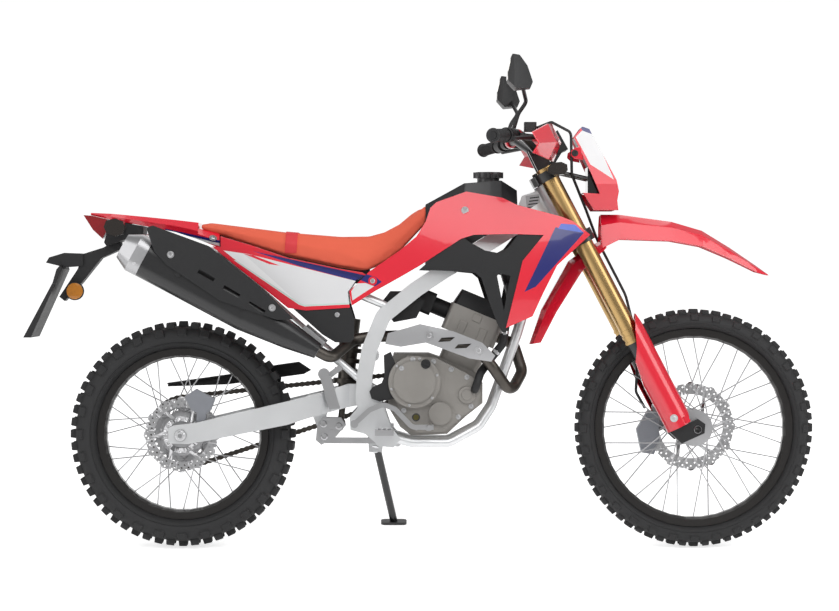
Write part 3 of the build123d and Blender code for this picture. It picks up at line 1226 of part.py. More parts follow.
with BuildPart() as control_cables:
    # front brake hose, down the left leg
    box = bar_point(GRIP_INNER - 70, -1) + Vector(39, 0, 8.5)
    add_tube([box + Vector(20, 12, 12), Vector(1040, -180, 1200), Vector(1100, -98, 1176), fork_point(64, 800, -54),
              fork_point(58, 690, 10), fork_point(52, 600, 78), fork_point(52, 420, 88), fork_point(34, 352, 66),
              fork_point(-20, 215, 66), fork_point(-52, 160, 70), fork_point(-50, 106, 73)],
             4, [20, 26, 34, 60, 60, 60, 26, 40, 26])
finish(control_cables, "control_cables")


# ---------------------------------------------------------------- side stand
with BuildPart() as side_stand:
    add_tube([STAND_PIVOT + STAND_DEPLOYED * 15, stand_leg_end], STAND_LEG_RADIUS)
    with BuildSketch(Plane(origin=STAND_PIVOT - STAND_AXIS * STAND_EAR, z_dir=STAND_AXIS)) as ear:
        Circle(17)
    extrude(ear.sketch, amount=2 * STAND_EAR)
    with BuildSketch(Plane(origin=stand_ground, x_dir=(1, 0, 0), z_dir=GROUND_UP)) as foot:
        RectangleRounded(76, 46, 14)
    extrude(foot.sketch, amount=FOOT_THICKNESS)
    with BuildSketch(Plane(origin=STAND_PIVOT - STAND_AXIS * 2 * STAND_EAR, z_dir=STAND_AXIS)) as bore:
        Circle(STAND_PIN_RADIUS + 0.1)
    extrude(bore.sketch, amount=4 * STAND_EAR, mode=Mode.SUBTRACT)
finish(side_stand, "side_stand")


# ---------------------------------------------------------------- park it on its stand and write the pieces
parked = {name: part.rotate(Axis.X, -LEAN) for name, part in pieces.items()}
boxes = [part.bounding_box() for part in parked.values()]
centre = [
    (min(getattr(box.min, axis) for box in boxes) + max(getattr(box.max, axis) for box in boxes)) / 2
    for axis in ("X", "Y")
]
PARKED_SHIFT = Vector(-centre[0], -centre[1], -min(box.min.Z for box in boxes))
for name, part in parked.items():
    placed = part.moved(Location(PARKED_SHIFT))
    placed.label = name
    export_step(placed, f"parts/{name}.step")
print("shift", PARKED_SHIFT, "nodes", len(parked))
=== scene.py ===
"""Dual sport motorcycle: finishes, tyres, seat, lamps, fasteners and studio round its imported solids."""
import json
import math

import bmesh
import bpy
from bpy.props import FloatProperty, FloatVectorProperty, PointerProperty
from mathutils import Matrix, Vector


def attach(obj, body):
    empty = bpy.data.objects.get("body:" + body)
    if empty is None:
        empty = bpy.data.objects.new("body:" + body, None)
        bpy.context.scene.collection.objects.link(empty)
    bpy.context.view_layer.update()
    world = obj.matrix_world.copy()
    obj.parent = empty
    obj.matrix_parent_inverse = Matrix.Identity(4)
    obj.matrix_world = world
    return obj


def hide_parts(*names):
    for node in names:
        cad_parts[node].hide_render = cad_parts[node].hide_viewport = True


bl_info = {
    "name": "Dual Sport Motorcycle",
    "version": (1, 0, 0),
    "blender": (4, 5, 0),
    "location": "View3D > Sidebar > Motorcycle",
    "description": "Dresses the packed solids of a dual sport motorcycle and lights them",
    "category": "Object",
}

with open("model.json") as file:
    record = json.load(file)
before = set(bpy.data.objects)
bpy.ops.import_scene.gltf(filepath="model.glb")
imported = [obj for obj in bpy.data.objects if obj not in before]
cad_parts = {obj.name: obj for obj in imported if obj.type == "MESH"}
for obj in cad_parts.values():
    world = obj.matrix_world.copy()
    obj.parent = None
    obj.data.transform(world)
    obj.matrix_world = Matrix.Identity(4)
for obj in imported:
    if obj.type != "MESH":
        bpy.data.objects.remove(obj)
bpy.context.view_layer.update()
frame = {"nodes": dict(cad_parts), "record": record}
NODES = frame["nodes"]
SLOTS = {entry["node"]: entry["material_slot"] for entry in frame["record"]["subparts"]}
BODIES = {node: body for body, nodes in frame["record"]["behaviour"]["bodies"].items() for node in nodes}

# The bike's own axes have x forward from the rear axle, y to its left and z up. It leans on its stand.
LEAN = math.radians(9.0)
PARKED = Matrix.Translation((-0.674, -0.207177, 0.001877)) @ Matrix.Rotation(-LEAN, 4, "X")
UPRIGHT = PARKED.inverted()
LEFT = Vector((0, 1, 0))
# sides of the bike: -1 is its right, 1 its left
RIGHT, BOTH = (-1,), (-1, 1)
WHEELBASE = 1.455
FRONT_RADIUS, REAR_RADIUS = 0.339, 0.322
FRONT_AXLE = Vector((WHEELBASE, 0, FRONT_RADIUS))
REAR_AXLE = Vector((0, 0, REAR_RADIUS))


# ---------------------------------------------------------------- settings
class BikeFinish(bpy.types.PropertyGroup):
    """Colours of the bodywork and the metal."""
    red: FloatVectorProperty(name="Red", description="Gloss plastic of the bodywork", subtype="COLOR",
                             default=(0.80, 0.012, 0.035))
    navy: FloatVectorProperty(name="Navy", description="Stripes of the bodywork", subtype="COLOR",
                              default=(0.012, 0.016, 0.16))
    blue: FloatVectorProperty(name="Blue", description="Narrow stripe on the shrouds", subtype="COLOR",
                              default=(0.035, 0.10, 0.56))
    white: FloatVectorProperty(name="White", description="White panels of the bodywork", subtype="COLOR",
                               default=(0.78, 0.78, 0.79))
    seat: FloatVectorProperty(name="Seat", description="Seat cover", subtype="COLOR",
                              default=(1.0, 0.135, 0.09))
    gold: FloatVectorProperty(name="Gold", description="Fork tubes", subtype="COLOR",
                              default=(0.50, 0.33, 0.14))
    silver: FloatVectorProperty(name="Silver", description="Frame and swingarm", subtype="COLOR",
                                default=(0.78, 0.79, 0.80))
    casting: FloatVectorProperty(name="Casting", description="Engine cases", subtype="COLOR",
                                 default=(0.30, 0.285, 0.265))


class BikeSizes(bpy.types.PropertyGroup):
    """Sizes of what is added to the solids."""
    seat_swell: FloatProperty(name="Seat swell", description="Most that the padding may stand out",
                              default=0.004, unit="LENGTH")
    strap: FloatProperty(name="Seat strap", description="Thickness of the strap's webbing",
                         default=0.0035, unit="LENGTH")
    bolt: FloatProperty(name="Bolt head", description="Radius of a panel bolt's head",
                        default=0.0075, unit="LENGTH")
    disc_hole: FloatProperty(name="Disc hole", description="Radius of the holes in the brake discs",
                             default=0.0027, unit="LENGTH")
    reflector: FloatProperty(name="Reflector", description="Radius of the rear reflector",
                             default=0.0235, unit="LENGTH")


# ---------------------------------------------------------------- materials
# sockets of a Mix node that mixes colours
MIX_SHARE, MIX_FIRST, MIX_SECOND, MIX_RESULT = 0, 6, 7, 2


def new_material(name):
    """A material, with its nodes and links."""
    material = bpy.data.materials.new(name)
    material.use_nodes = True
    return material, material.node_tree.nodes, material.node_tree.links


def feed(links, value, socket):
    """Gives a socket a link, a colour or a number."""
    if isinstance(value, bpy.types.NodeSocket):
        links.new(value, socket)
    elif isinstance(value, tuple):
        socket.default_value = (*value, 1)
    else:
        socket.default_value = value


def add_math(nodes, links, operation, first, second):
    """The result of a sum on two sockets, or on a socket and a number."""
    node = nodes.new("ShaderNodeMath")
    node.operation = operation
    feed(links, first, node.inputs[0])
    feed(links, second, node.inputs[1])
    return node.outputs[0]


def add_vector_math(nodes, links, operation, vector, fixed):
    """A node that works on a vector and a fixed one."""
    node = nodes.new("ShaderNodeVectorMath")
    node.operation = operation
    node.inputs[1].default_value = fixed
    links.new(vector, node.inputs[0])
    return node


def add_mix(nodes, links, share, first, second, blend="MIX"):
    """Lays a second colour over a first one by a share."""
    mix = nodes.new("ShaderNodeMix")
    mix.data_type = "RGBA"
    mix.blend_type = blend
    feed(links, share, mix.inputs[MIX_SHARE])
    feed(links, first, mix.inputs[MIX_FIRST])
    feed(links, second, mix.inputs[MIX_SECOND])
    return mix.outputs[MIX_RESULT]


def add_noise(nodes, links, axes, scale, detail):
    """A cloudy pattern from 0 to 1."""
    noise = nodes.new("ShaderNodeTexNoise")
    noise.inputs["Scale"].default_value = scale
    noise.inputs["Detail"].default_value = detail
    links.new(axes, noise.inputs["Vector"])
    return noise.outputs["Fac"]


def add_range(nodes, links, value, start, end, low=0.0, high=1.0):
    """Stretches a value from low..high to start..end."""
    stretch = nodes.new("ShaderNodeMapRange")
    stretch.inputs["From Min"].default_value, stretch.inputs["From Max"].default_value = low, high
    stretch.inputs["To Min"].default_value, stretch.inputs["To Max"].default_value = start, end
    links.new(value, stretch.inputs["Value"])
    return stretch.outputs["Result"]


def add_bump(nodes, links, height, strength, shader):
    """Roughens a shader's surface by a height."""
    bump = nodes.new("ShaderNodeBump")
    bump.inputs["Strength"].default_value = strength
    links.new(height, bump.inputs["Height"])
    links.new(bump.outputs["Normal"], shader.inputs["Normal"])
    return bump


def add_bike_axes(nodes, links):
    """A vector in the upright bike's own axes, in metres, that rides with the piece."""
    coordinates = nodes.new("ShaderNodeTexCoord")
    turn = nodes.new("ShaderNodeMapping")
    turn.inputs["Location"].default_value = UPRIGHT.to_translation()
    turn.inputs["Rotation"].default_value = UPRIGHT.to_euler()
    links.new(coordinates.outputs["Object"], turn.inputs["Vector"])
    return turn.outputs["Vector"]


def add_zone(nodes, links, axes, corners):
    """A mask that is 1 inside a convex outline of (x, z) corners, in millimetres, in the side view."""
    middle = Vector((sum(x for x, _ in corners), sum(z for _, z in corners))) / len(corners)
    mask = None
    for (x0, z0), (x1, z1) in zip(corners, corners[1:] + corners[:1]):
        across = Vector((z1 - z0, x0 - x1)).normalized()
        if across.dot(middle - Vector((x0, z0))) < 0:
            across = -across
        depth = add_vector_math(nodes, links, "DOT_PRODUCT", axes, (across.x, 0, across.y)).outputs["Value"]
        inside = add_math(nodes, links, "GREATER_THAN", depth, across.dot(Vector((x0, z0))) / 1000)
        mask = inside if mask is None else add_math(nodes, links, "MULTIPLY", mask, inside)
    return mask


def finish_material(name, colour, roughness, metallic=0.0, coat=0.0, mottle=(6.0, 0.10), grain=(900.0, 0.02),
                    zones=(), specular=0.5, stretch=(1, 1, 1)):
    """A finish with mottled colour and roughness and a fine grain.

    mottle and grain are each a scale and a strength. zones holds (corners, colour) to paint over, in order.
    """
    material, nodes, links = new_material(name)
    shader = nodes["Principled BSDF"]
    axes = add_bike_axes(nodes, links)
    spread = add_vector_math(nodes, links, "MULTIPLY", axes, stretch).outputs["Vector"]
    cloud = add_noise(nodes, links, spread, mottle[0], 5.0)
    hue = colour
    for corners, over in zones:
        hue = add_mix(nodes, links, add_zone(nodes, links, axes, corners), hue, over)
    tone = add_range(nodes, links, cloud, 1 - mottle[1], 1.0, 0.25, 0.75)
    links.new(add_mix(nodes, links, 1.0, hue, tone, "MULTIPLY"), shader.inputs["Base Color"])
    links.new(add_range(nodes, links, cloud, roughness * 0.85, roughness * 1.15), shader.inputs["Roughness"])
    fine = add_noise(nodes, links, spread, grain[0], 2.0)
    add_bump(nodes, links, fine, grain[1], shader).inputs["Distance"].default_value = 0.001
    shader.inputs["Metallic"].default_value = metallic
    shader.inputs["Coat Weight"].default_value = coat
    shader.inputs["Coat Roughness"].default_value = 0.04
    shader.inputs["Specular IOR Level"].default_value = specular
    return material


def lens_material(name, colour, roughness, clear):
    """Moulded plastic with fine flutes. clear is how much light it lets through."""
    material, nodes, links = new_material(name)
    shader = nodes["Principled BSDF"]
    flutes = nodes.new("ShaderNodeTexWave")
    flutes.inputs["Scale"].default_value = 60.0
    flutes.inputs["Distortion"].default_value = 0.3
    flutes.bands_direction = "Y"
    links.new(add_bike_axes(nodes, links), flutes.inputs["Vector"])
    wave = flutes.outputs["Fac"]
    deep = tuple(channel * 0.8 for channel in colour)
    links.new(add_mix(nodes, links, wave, deep, colour), shader.inputs["Base Color"])
    add_bump(nodes, links, wave, 0.12, shader)
    shader.inputs["Roughness"].default_value = roughness
    shader.inputs["Transmission Weight"].default_value = clear
    shader.inputs["Coat Weight"].default_value = 0.6
    return material


# side-view outlines that are painted, in millimetres
SHROUD_NAVY = [(1052, 907), (1131, 891), (997, 741), (965, 726)]
SHROUD_BLUE = [(1068, 917), (1107, 914), (1131, 891), (1059, 903)]
TIP_NAVY = [(500, 762), (523, 776), (549, 768), (567, 754), (549, 742)]
TIP_WHITE = [(521, 751), (545, 742), (484, 702), (481, 728), (496, 750)]
SIDE_WHITE = [(120, 843), (189, 833), (472, 762), (472, 696), (350, 690), (336, 695), (148, 821)]
SIDE_POINT = [(468, 763), (508, 754), (468, 720)]
# the rear part of the side covers' white panel, painted a brighter white as a painted sheen (a painted
# highlight)
SIDE_PAINTED_SHEEN = [(120, 843), (178, 833), (330, 697), (336, 695), (148, 821)]
SIDE_LINE = [(150, 815), (205, 818), (476, 760), (477, 691), (350, 685), (334, 690)]
SIDE_SLASH = [(176, 834), (205, 829), (280, 800), (250, 804)]
SIDE_NAVY = [(203, 841), (522, 772), (508, 753), (340, 797)]
TAIL_NAVY = [(-46, 905), (-46, 899), (186, 845), (202, 851)]
TAIL_WHITE = [(-46, 899), (-46, 896), (166, 840), (186, 845)]
COWL_WHITE = [(1134, 1183), (1163, 1172), (1191, 1114), (1221, 1043), (1155, 1086), (1115, 1164)]
COWL_NAVY = [(1128, 1196), (1154, 1190), (1163, 1172), (1134, 1183)]
HEAD_COVER = [(758, 701), (933, 628), (955, 680), (780, 753)]

PALE_LINE = (0.62, 0.74, 0.70)
# the brighter white of the painted sheen on the side covers
PAINTED_SHEEN_WHITE = (0.9, 0.9, 0.9)
COVER_BLACK = (0.010, 0.010, 0.011)
GLOSS = dict(roughness=0.22, coat=0.85, mottle=(4.0, 0.04), grain=(500.0, 0.01))
CAST = dict(roughness=0.48, mottle=(14.0, 0.14), grain=(650.0, 0.22))


def make_metals(look):
    """The finishes of the metal slots."""
    return {
        "silver_alloy": finish_material("satin_alloy", (0.46, 0.46, 0.47), 0.40, metallic=1.0),
        "steel": finish_material("machined_steel", (0.56, 0.56, 0.57), 0.30, metallic=1.0,
                                 grain=(1500.0, 0.05)),
        "dark_steel": finish_material("oiled_steel", (0.10, 0.09, 0.08), 0.38, metallic=0.9,
                                      mottle=(18.0, 0.35)),
        "silver_paint": finish_material("satin_silver", tuple(look.silver), 0.34, metallic=0.6, coat=0.25,
                                        grain=(1300.0, 0.03)),
        "engine_grey": finish_material("grey_casting", tuple(look.casting), metallic=0.55, **CAST),
        "caliper_grey": finish_material("cast_caliper", (0.30, 0.31, 0.34), 0.42, metallic=0.8,
                                        grain=(600.0, 0.2)),
        "gold_anodised": finish_material("gold_anodised", tuple(look.gold), 0.27, metallic=1.0,
                                         grain=(900.0, 0.02), stretch=(1, 1, 0.05)),
        "black_rim": finish_material("black_rim", (0.018, 0.016, 0.015), 0.35, metallic=0.4, coat=0.3),
        "black_paint": finish_material("black_enamel", (0.008, 0.008, 0.009), 0.38, coat=0.3),
    }


def make_mouldings(look):
    """The finishes of the plastic, rubber and lens slots."""
    return {
        "tyre": finish_material("tread_rubber", (0.022, 0.022, 0.023), 0.75, grain=(700.0, 0.12)),
        "black_plastic": finish_material("grained_plastic", (0.017, 0.017, 0.018), 0.55, specular=0.35,
                                         grain=(1100.0, 0.25)),
        "black_rubber_plastic": finish_material("soft_black", (0.016, 0.016, 0.017), 0.5,
                                                grain=(1200.0, 0.2)),
        "black_rubber": finish_material("hose_rubber", (0.013, 0.013, 0.014), 0.55, grain=(800.0, 0.15)),
        "red_gloss": finish_material("red_bodywork", tuple(look.red), **GLOSS),
        "seat_cover": finish_material("seat_cover", tuple(look.seat), 0.72, mottle=(9.0, 0.1),
                                      grain=(1400.0, 0.35)),
        "red_lens": lens_material("red_lens", (0.30, 0.008, 0.012), 0.15, 0.0),
        "amber_lens": lens_material("smoked_lens", (0.018, 0.013, 0.010), 0.2, 0.0),
        "clear_lens": lens_material("clear_lens", (0.62, 0.66, 0.70), 0.08, 0.35),
    }


def make_painted(look):
    """The finishes of the nodes that have their own paint."""
    red, navy, blue, white = tuple(look.red), tuple(look.navy), tuple(look.blue), tuple(look.white)
    return {
        "shrouds": finish_material("shroud_paint", red, zones=[
            (SHROUD_NAVY, navy), (SHROUD_BLUE, blue), (TIP_WHITE, white), (TIP_NAVY, navy)], **GLOSS),
        "side_covers": finish_material("side_cover_paint", red, zones=[
            # the brighter white zone over the white panel is a painted sheen, not a second white
            (SIDE_LINE, PALE_LINE), (SIDE_WHITE, white), (SIDE_POINT, white), (SIDE_PAINTED_SHEEN, PAINTED_SHEEN_WHITE),
            (SIDE_SLASH, red), (SIDE_NAVY, navy)], **GLOSS),
        "headlight_cowl": finish_material("cowl_paint", red, zones=[
            (COWL_WHITE, white), (COWL_NAVY, navy)], **GLOSS),
        "tail_cowl": finish_material("tail_paint", red, zones=[
            (TAIL_WHITE, white), (TAIL_NAVY, navy)], **GLOSS),
        "fuel_tank": finish_material("tank_plastic", (0.016, 0.016, 0.018), 0.36, coat=0.2,
                                     grain=(900.0, 0.08)),
        "headlight": finish_material("headlight_shell", (0.012, 0.013, 0.015), 0.12, coat=0.8,
                                     grain=(400.0, 0.005)),
        "cylinder_head": finish_material("head_casting", tuple(look.casting), metallic=0.4,
                                         zones=[(HEAD_COVER, COVER_BLACK)], **CAST),
    }


# ---------------------------------------------------------------- modelling tools
def start_clean():
    """Leaves nothing selected, in object mode."""
    if bpy.context.object and bpy.context.object.mode != "OBJECT":
        bpy.ops.object.mode_set(mode="OBJECT")
    bpy.ops.object.select_all(action="DESELECT")


def pick(piece):
    """Selects one piece alone and makes it the active one."""
    start_clean()
    piece.select_set(True)
    bpy.context.view_layer.objects.active = piece


def place(piece, matrix):
    """Puts a piece by a matrix, and applies that to its mesh."""
    pick(piece)
    piece.matrix_world = matrix
    bpy.ops.object.transform_apply(location=True, rotation=True, scale=True)
    return piece


def aim(piece, centre, axis, scale=(1, 1, 1)):
    """Puts a piece at a centre, with its z axis along an axis."""
    turn = axis.to_track_quat("Z", "Y").to_matrix().to_4x4()
    return place(piece, Matrix.Translation(centre) @ turn @ Matrix.Diagonal((*scale, 1)))


def paint(piece, finish):
    """Gives a piece the named material alone."""
    piece.data.materials.clear()
    piece.data.materials.append(bpy.data.materials[finish])


def settle(piece, name, body, finish):
    """Parks a piece modelled in the upright bike's axes, paints it and has it ride on its body."""
    place(piece, PARKED)
    piece.name = name
    paint(piece, finish)
    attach(piece, body)


def stand_in(piece, node):
    """Has a worked copy of a solid take the solid's place."""
    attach(piece, BODIES[node])
    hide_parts(node)


def join(pieces):
    """Joins pieces into the first one."""
    start_clean()
    for piece in pieces:
        piece.select_set(True)
    bpy.context.view_layer.objects.active = pieces[0]
    if len(pieces) > 1:
        bpy.ops.object.join()
    return pieces[0]


def apply_all(piece):
    """Applies a piece's modifiers in order."""
    pick(piece)
    for modifier in list(piece.modifiers):
        bpy.ops.object.modifier_apply(modifier=modifier.name)
    return piece


# angles between faces, in degrees, up to which the solids and round pieces are shaded smooth
SOLID_ANGLE, ROUND_ANGLE = 32, 60


def smooth(piece, angle=35):
    """Shades a piece smooth up to an angle between faces, in degrees."""
    pick(piece)
    bpy.ops.object.shade_smooth_by_angle(angle=math.radians(angle))
    return piece


def round_edges(piece, width, segments=2, angle=30):
    """Bevels the edges that are sharper than an angle, in degrees."""
    modifier = piece.modifiers.new("Bevel", "BEVEL")
    modifier.width = width
    modifier.segments = segments
    modifier.limit_method = "ANGLE"
    modifier.angle_limit = math.radians(angle)
    return apply_all(piece)


def repeat(piece, count, step):
    """Repeats a piece along a step."""
    modifier = piece.modifiers.new("Along", "ARRAY")
    modifier.count = count
    modifier.use_relative_offset = False
    modifier.use_constant_offset = True
    modifier.constant_offset_displace = step
    return apply_all(piece)


def repeat_round(piece, centre, count):
    """Repeats a piece round a wheel's axle."""
    start_clean()
    bpy.ops.object.empty_add()
    hub = bpy.context.object
    middle = Matrix.Translation(centre)
    hub.matrix_world = middle @ Matrix.Rotation(2 * math.pi / count, 4, "Y") @ middle.inverted()
    modifier = piece.modifiers.new("Round", "ARRAY")
    modifier.count = count
    modifier.use_relative_offset = False
    modifier.use_object_offset = True
    modifier.offset_object = hub
    bpy.context.view_layer.update()
    apply_all(piece)
    bpy.data.objects.remove(hub)
    return piece


def copy_of(source, name):
    """A copy of an object that rides on nothing."""
    pick(source)
    bpy.ops.object.duplicate()
    piece = bpy.context.object
    for key in list(piece.keys()):
        del piece[key]
    piece.parent = None
    piece.matrix_world = Matrix.Identity(4)
    piece.name = name
    return piece


def copy_node(node, name):
    """A merged copy of a solid's mesh, to be worked on."""
    piece = copy_of(NODES[node], name)
    bpy.ops.object.mode_set(mode="EDIT")
    bpy.ops.mesh.select_all(action="SELECT")
    bpy.ops.mesh.remove_doubles(threshold=0.00002)
    bpy.ops.object.mode_set(mode="OBJECT")
    return piece


def edit(piece, kind="VERT"):
    """Opens a piece in edit mode with nothing selected."""
    pick(piece)
    bpy.ops.object.mode_set(mode="EDIT")
    bpy.ops.mesh.select_mode(type=kind)
    bpy.ops.mesh.select_all(action="DESELECT")


def select_where(piece, test, faces=False):
    """In edit mode, selects the vertices or faces that pass a test on their place or normal."""
    cage = bmesh.from_edit_mesh(piece.data)
    for part in (cage.faces if faces else cage.verts):
        part.select_set(bool(test(part)))
    cage.select_flush_mode()
    bmesh.update_edit_mesh(piece.data)


def add_outline(corners, fill):
    """A closed line or a face through corners, in edit mode with all of it selected."""
    start_clean()
    bpy.ops.mesh.primitive_circle_add(vertices=len(corners), radius=1.0, fill_type=fill)
    outline = bpy.context.object
    edit(outline)
    starts = [vertex.co.copy() for vertex in bmesh.from_edit_mesh(outline.data).verts]
    for index, (start, corner) in enumerate(zip(starts, corners)):
        select_where(outline, lambda vertex: vertex.index == index)
        bpy.ops.transform.translate(value=Vector(corner) - start)
    bpy.ops.mesh.select_all(action="SELECT")
    return outline


def add_plate(corners, depth):
    """A flat plate through corners, as thick as depth reaches."""
    plate = add_outline(corners, "NGON")
    bpy.ops.mesh.extrude_region_move(TRANSFORM_OT_translate={"value": tuple(depth)})
    bpy.ops.mesh.select_all(action="SELECT")
    bpy.ops.mesh.normals_make_consistent(inside=False)
    bpy.ops.object.mode_set(mode="OBJECT")
    return plate


def add_rod(foot, axis, reach, radius, sides):
    """A round bar about an axis, from reach[0] to reach[1] along it from a foot."""
    start, end = reach
    start_clean()
    bpy.ops.mesh.primitive_cylinder_add(vertices=sides, radius=radius, depth=end - start)
    return aim(bpy.context.object, foot + axis * (start + end) / 2, axis)


def add_ring(centre, axis, radius, thickness, sides):
    """A round ring about an axis."""
    start_clean()
    bpy.ops.mesh.primitive_torus_add(major_radius=radius, minor_radius=thickness, major_segments=sides,
                                     minor_segments=8)
    return aim(bpy.context.object, centre, axis)


def add_box(centre, size, turn=Matrix()):
    """A box, turned about its centre."""
    start_clean()
    bpy.ops.mesh.primitive_cube_add(size=1.0)
    return place(bpy.context.object, Matrix.Translation(centre) @ turn @ Matrix.Diagonal((*size, 1)))


# how deep a bolt's head sits in what carries it, and the reach of its washer below and above that
BOLT_SINK = 0.0005
WASHER_REACH = (-0.0006, 0.0011)


def add_bolt(foot, facing, radius, height, washer=0.0):
    """A socket-headed bolt, with a washer below it where one is given."""
    start_clean()
    bpy.ops.mesh.primitive_cylinder_add(vertices=20, radius=radius, depth=height + 2 * BOLT_SINK)
    head = bpy.context.object
    edit(head, "FACE")
    select_where(head, lambda face: face.normal.z > 0.9, faces=True)
    bpy.ops.mesh.inset(thickness=radius * 0.2, depth=radius * 0.14)
    bpy.ops.mesh.inset(thickness=radius * 0.3)
    bpy.ops.mesh.inset(thickness=0.0001, depth=-height * 0.6)
    bpy.ops.object.mode_set(mode="OBJECT")
    aim(head, foot + facing * (height - BOLT_SINK) / 2, facing)
    if washer:
        return join([head, add_rod(foot, facing, WASHER_REACH, washer, sides=24)])
    return head


def mm(x, y, z):
    """A point in the upright bike's axes, given in millimetres."""
    return Vector((x, y, z)) / 1000


def surface(node, x, z, side):
    """Where a line across the bike first meets a solid from one side, and the way the solid faces there.

    x and z are in millimetres, and side is -1 for the bike's right and 1 for its left.
    """
    away = Vector((x / 1000, side * 0.6, z / 1000))
    hit, spot, normal, _ = NODES[node].ray_cast(PARKED @ away, PARKED.to_3x3() @ Vector((0, -side, 0)))
    if not hit:
        raise RuntimeError(f"no surface of {node} at {x}, {z}")
    return UPRIGHT @ spot, (UPRIGHT.to_3x3() @ normal).normalized()


def from_axle(turns):
    """The way out from an axle, in the wheel's plane, after a number of turns."""
    return Vector((math.cos(2 * math.pi * turns), 0, math.sin(2 * math.pi * turns)))


# ---------------------------------------------------------------- solids
class BIKE_OT_finishes(bpy.types.Operator):
    """Gives every solid its finish"""
    bl_idname = "bike.finishes"
    bl_label = "Finishes"

    def execute(self, context):
        look = context.scene.bike_finish
        finishes = make_metals(look) | make_mouldings(look)
        painted = make_painted(look)
        for node, piece in NODES.items():
            if SLOTS[node] not in finishes:
                raise RuntimeError(f"no finish for {SLOTS[node]}")
            paint(piece, painted.get(node, finishes[SLOTS[node]]).name)
            smooth(piece, SOLID_ANGLE)
        return {"FINISHED"}


# ---------------------------------------------------------------- wheels
# half profile of each carcass as (y, radius)
FRONT_CARCASS = [(0.0200, 0.2695), (0.0200, 0.282), (0.033, 0.286), (0.040, 0.293), (0.0427, 0.304),
                 (0.042, 0.311), (0.036, 0.320), (0.024, 0.326), (0.010, 0.3284)]
REAR_CARCASS = [(0.0270, 0.2312), (0.0280, 0.244), (0.046, 0.249), (0.055, 0.256), (0.0585, 0.268),
                (0.059, 0.281), (0.054, 0.292), (0.044, 0.300), (0.028, 0.305), (0.012, 0.3068)]
# rows of knobs, from the middle outwards: foot's radius, y, lean, (along, across, up), offset in pitches
FRONT_KNOBS = [(0.3265, 0.0095, 0.00, (0.027, 0.0150, 0.0120), 0),
               (0.3240, 0.0225, 0.32, (0.022, 0.0150, 0.0125), 0.5),
               (0.3120, 0.0365, 1.05, (0.024, 0.0200, 0.0085), 0)]
REAR_KNOBS = [(0.3045, 0.0130, 0.00, (0.026, 0.0215, 0.0160), 0),
              (0.3020, 0.0330, 0.22, (0.026, 0.0180, 0.0160), 0.5),
              (0.2880, 0.0512, 1.05, (0.029, 0.0250, 0.0100), 0)]
# tyre, axle, carcass, rows, knobs in a row, (y, radius) of the fine line beside the rim
TYRES = (("front_tyre", FRONT_AXLE, FRONT_CARCASS, FRONT_KNOBS, 32, (0.0415, 0.296)),
         ("rear_tyre", REAR_AXLE, REAR_CARCASS, REAR_KNOBS, 28, (0.0575, 0.259)))
# disc, its middle, rings of holes as (radius, offset in pitches)
DISCS = (("front_disc", FRONT_AXLE + LEFT * 0.060, ((0.1060, 0.0), (0.1145, 0.5), (0.1205, 0.15))),
         ("rear_disc", REAR_AXLE - LEFT * 0.075, ((0.0860, 0.0), (0.0945, 0.5), (0.1005, 0.15))))
HOLES, DRILL_REACH = 30, (-0.01, 0.01)


def spin_carcass(centre, profile):
    """A tyre's carcass, spun from its profile about the axle."""
    half = [Vector((0, y, radius)) for y, radius in profile]
    other = [Vector((0, -y, radius)) for y, radius in reversed(profile)]
    carcass = add_outline([corner + centre for corner in half + other], "NOTHING")
    bpy.ops.mesh.spin(steps=120, angle=2 * math.pi, center=centre, axis=LEFT)
    bpy.ops.mesh.select_all(action="SELECT")
    bpy.ops.mesh.remove_doubles(threshold=0.00005)
    bpy.ops.mesh.normals_make_consistent(inside=False)
    bpy.ops.object.mode_set(mode="OBJECT")
    return smooth(carcass, ROUND_ANGLE)


def add_knobs(centre, reach, left, lean, size, count, offset):
    """A row of tread knobs round a tyre.

    reach is their foot's radius, left their y, lean tips them outwards, and size is along, across and up.
    """
    out = from_axle(offset / count)
    up = out * math.cos(lean) + LEFT * math.sin(lean)
    across = LEFT * math.cos(lean) - out * math.sin(lean)
    turn = Matrix((across.cross(up), across, up)).transposed().to_4x4()
    middle = centre + LEFT * left + out * reach + up * size[2] / 2
    start_clean()
    bpy.ops.mesh.primitive_cube_add(size=1.0)
    knob = bpy.context.object
    edit(knob)
    select_where(knob, lambda vertex: vertex.co.z > 0)
    bpy.ops.transform.resize(value=(0.84, 0.84, 1))
    bpy.ops.object.mode_set(mode="OBJECT")
    place(knob, Matrix.Translation(middle) @ turn @ Matrix.Diagonal((*size, 1)))
    return repeat_round(round_edges(knob, 0.0014), centre, count)


class BIKE_OT_tyres(bpy.types.Operator):
    """Rounds the tyres and gives them their knobs"""
    bl_idname = "bike.tyres"
    bl_label = "Tyres"

    def execute(self, context):
        for name, centre, carcass, rows, count, (line_left, line_radius) in TYRES:
            parts = [spin_carcass(centre, carcass)]
            for reach, left, lean, size, offset in rows:
                for side in BOTH:
                    parts.append(add_knobs(centre, reach, side * left, side * lean, size, count, offset))
            for side in BOTH:
                middle = centre + LEFT * side * line_left
                parts.append(add_ring(middle, LEFT, line_radius, thickness=0.0012, sides=120))
            tyre = join(parts)
            settle(tyre, name + "_dressed", BODIES[name], "tread_rubber")
            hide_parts(name)
        return {"FINISHED"}


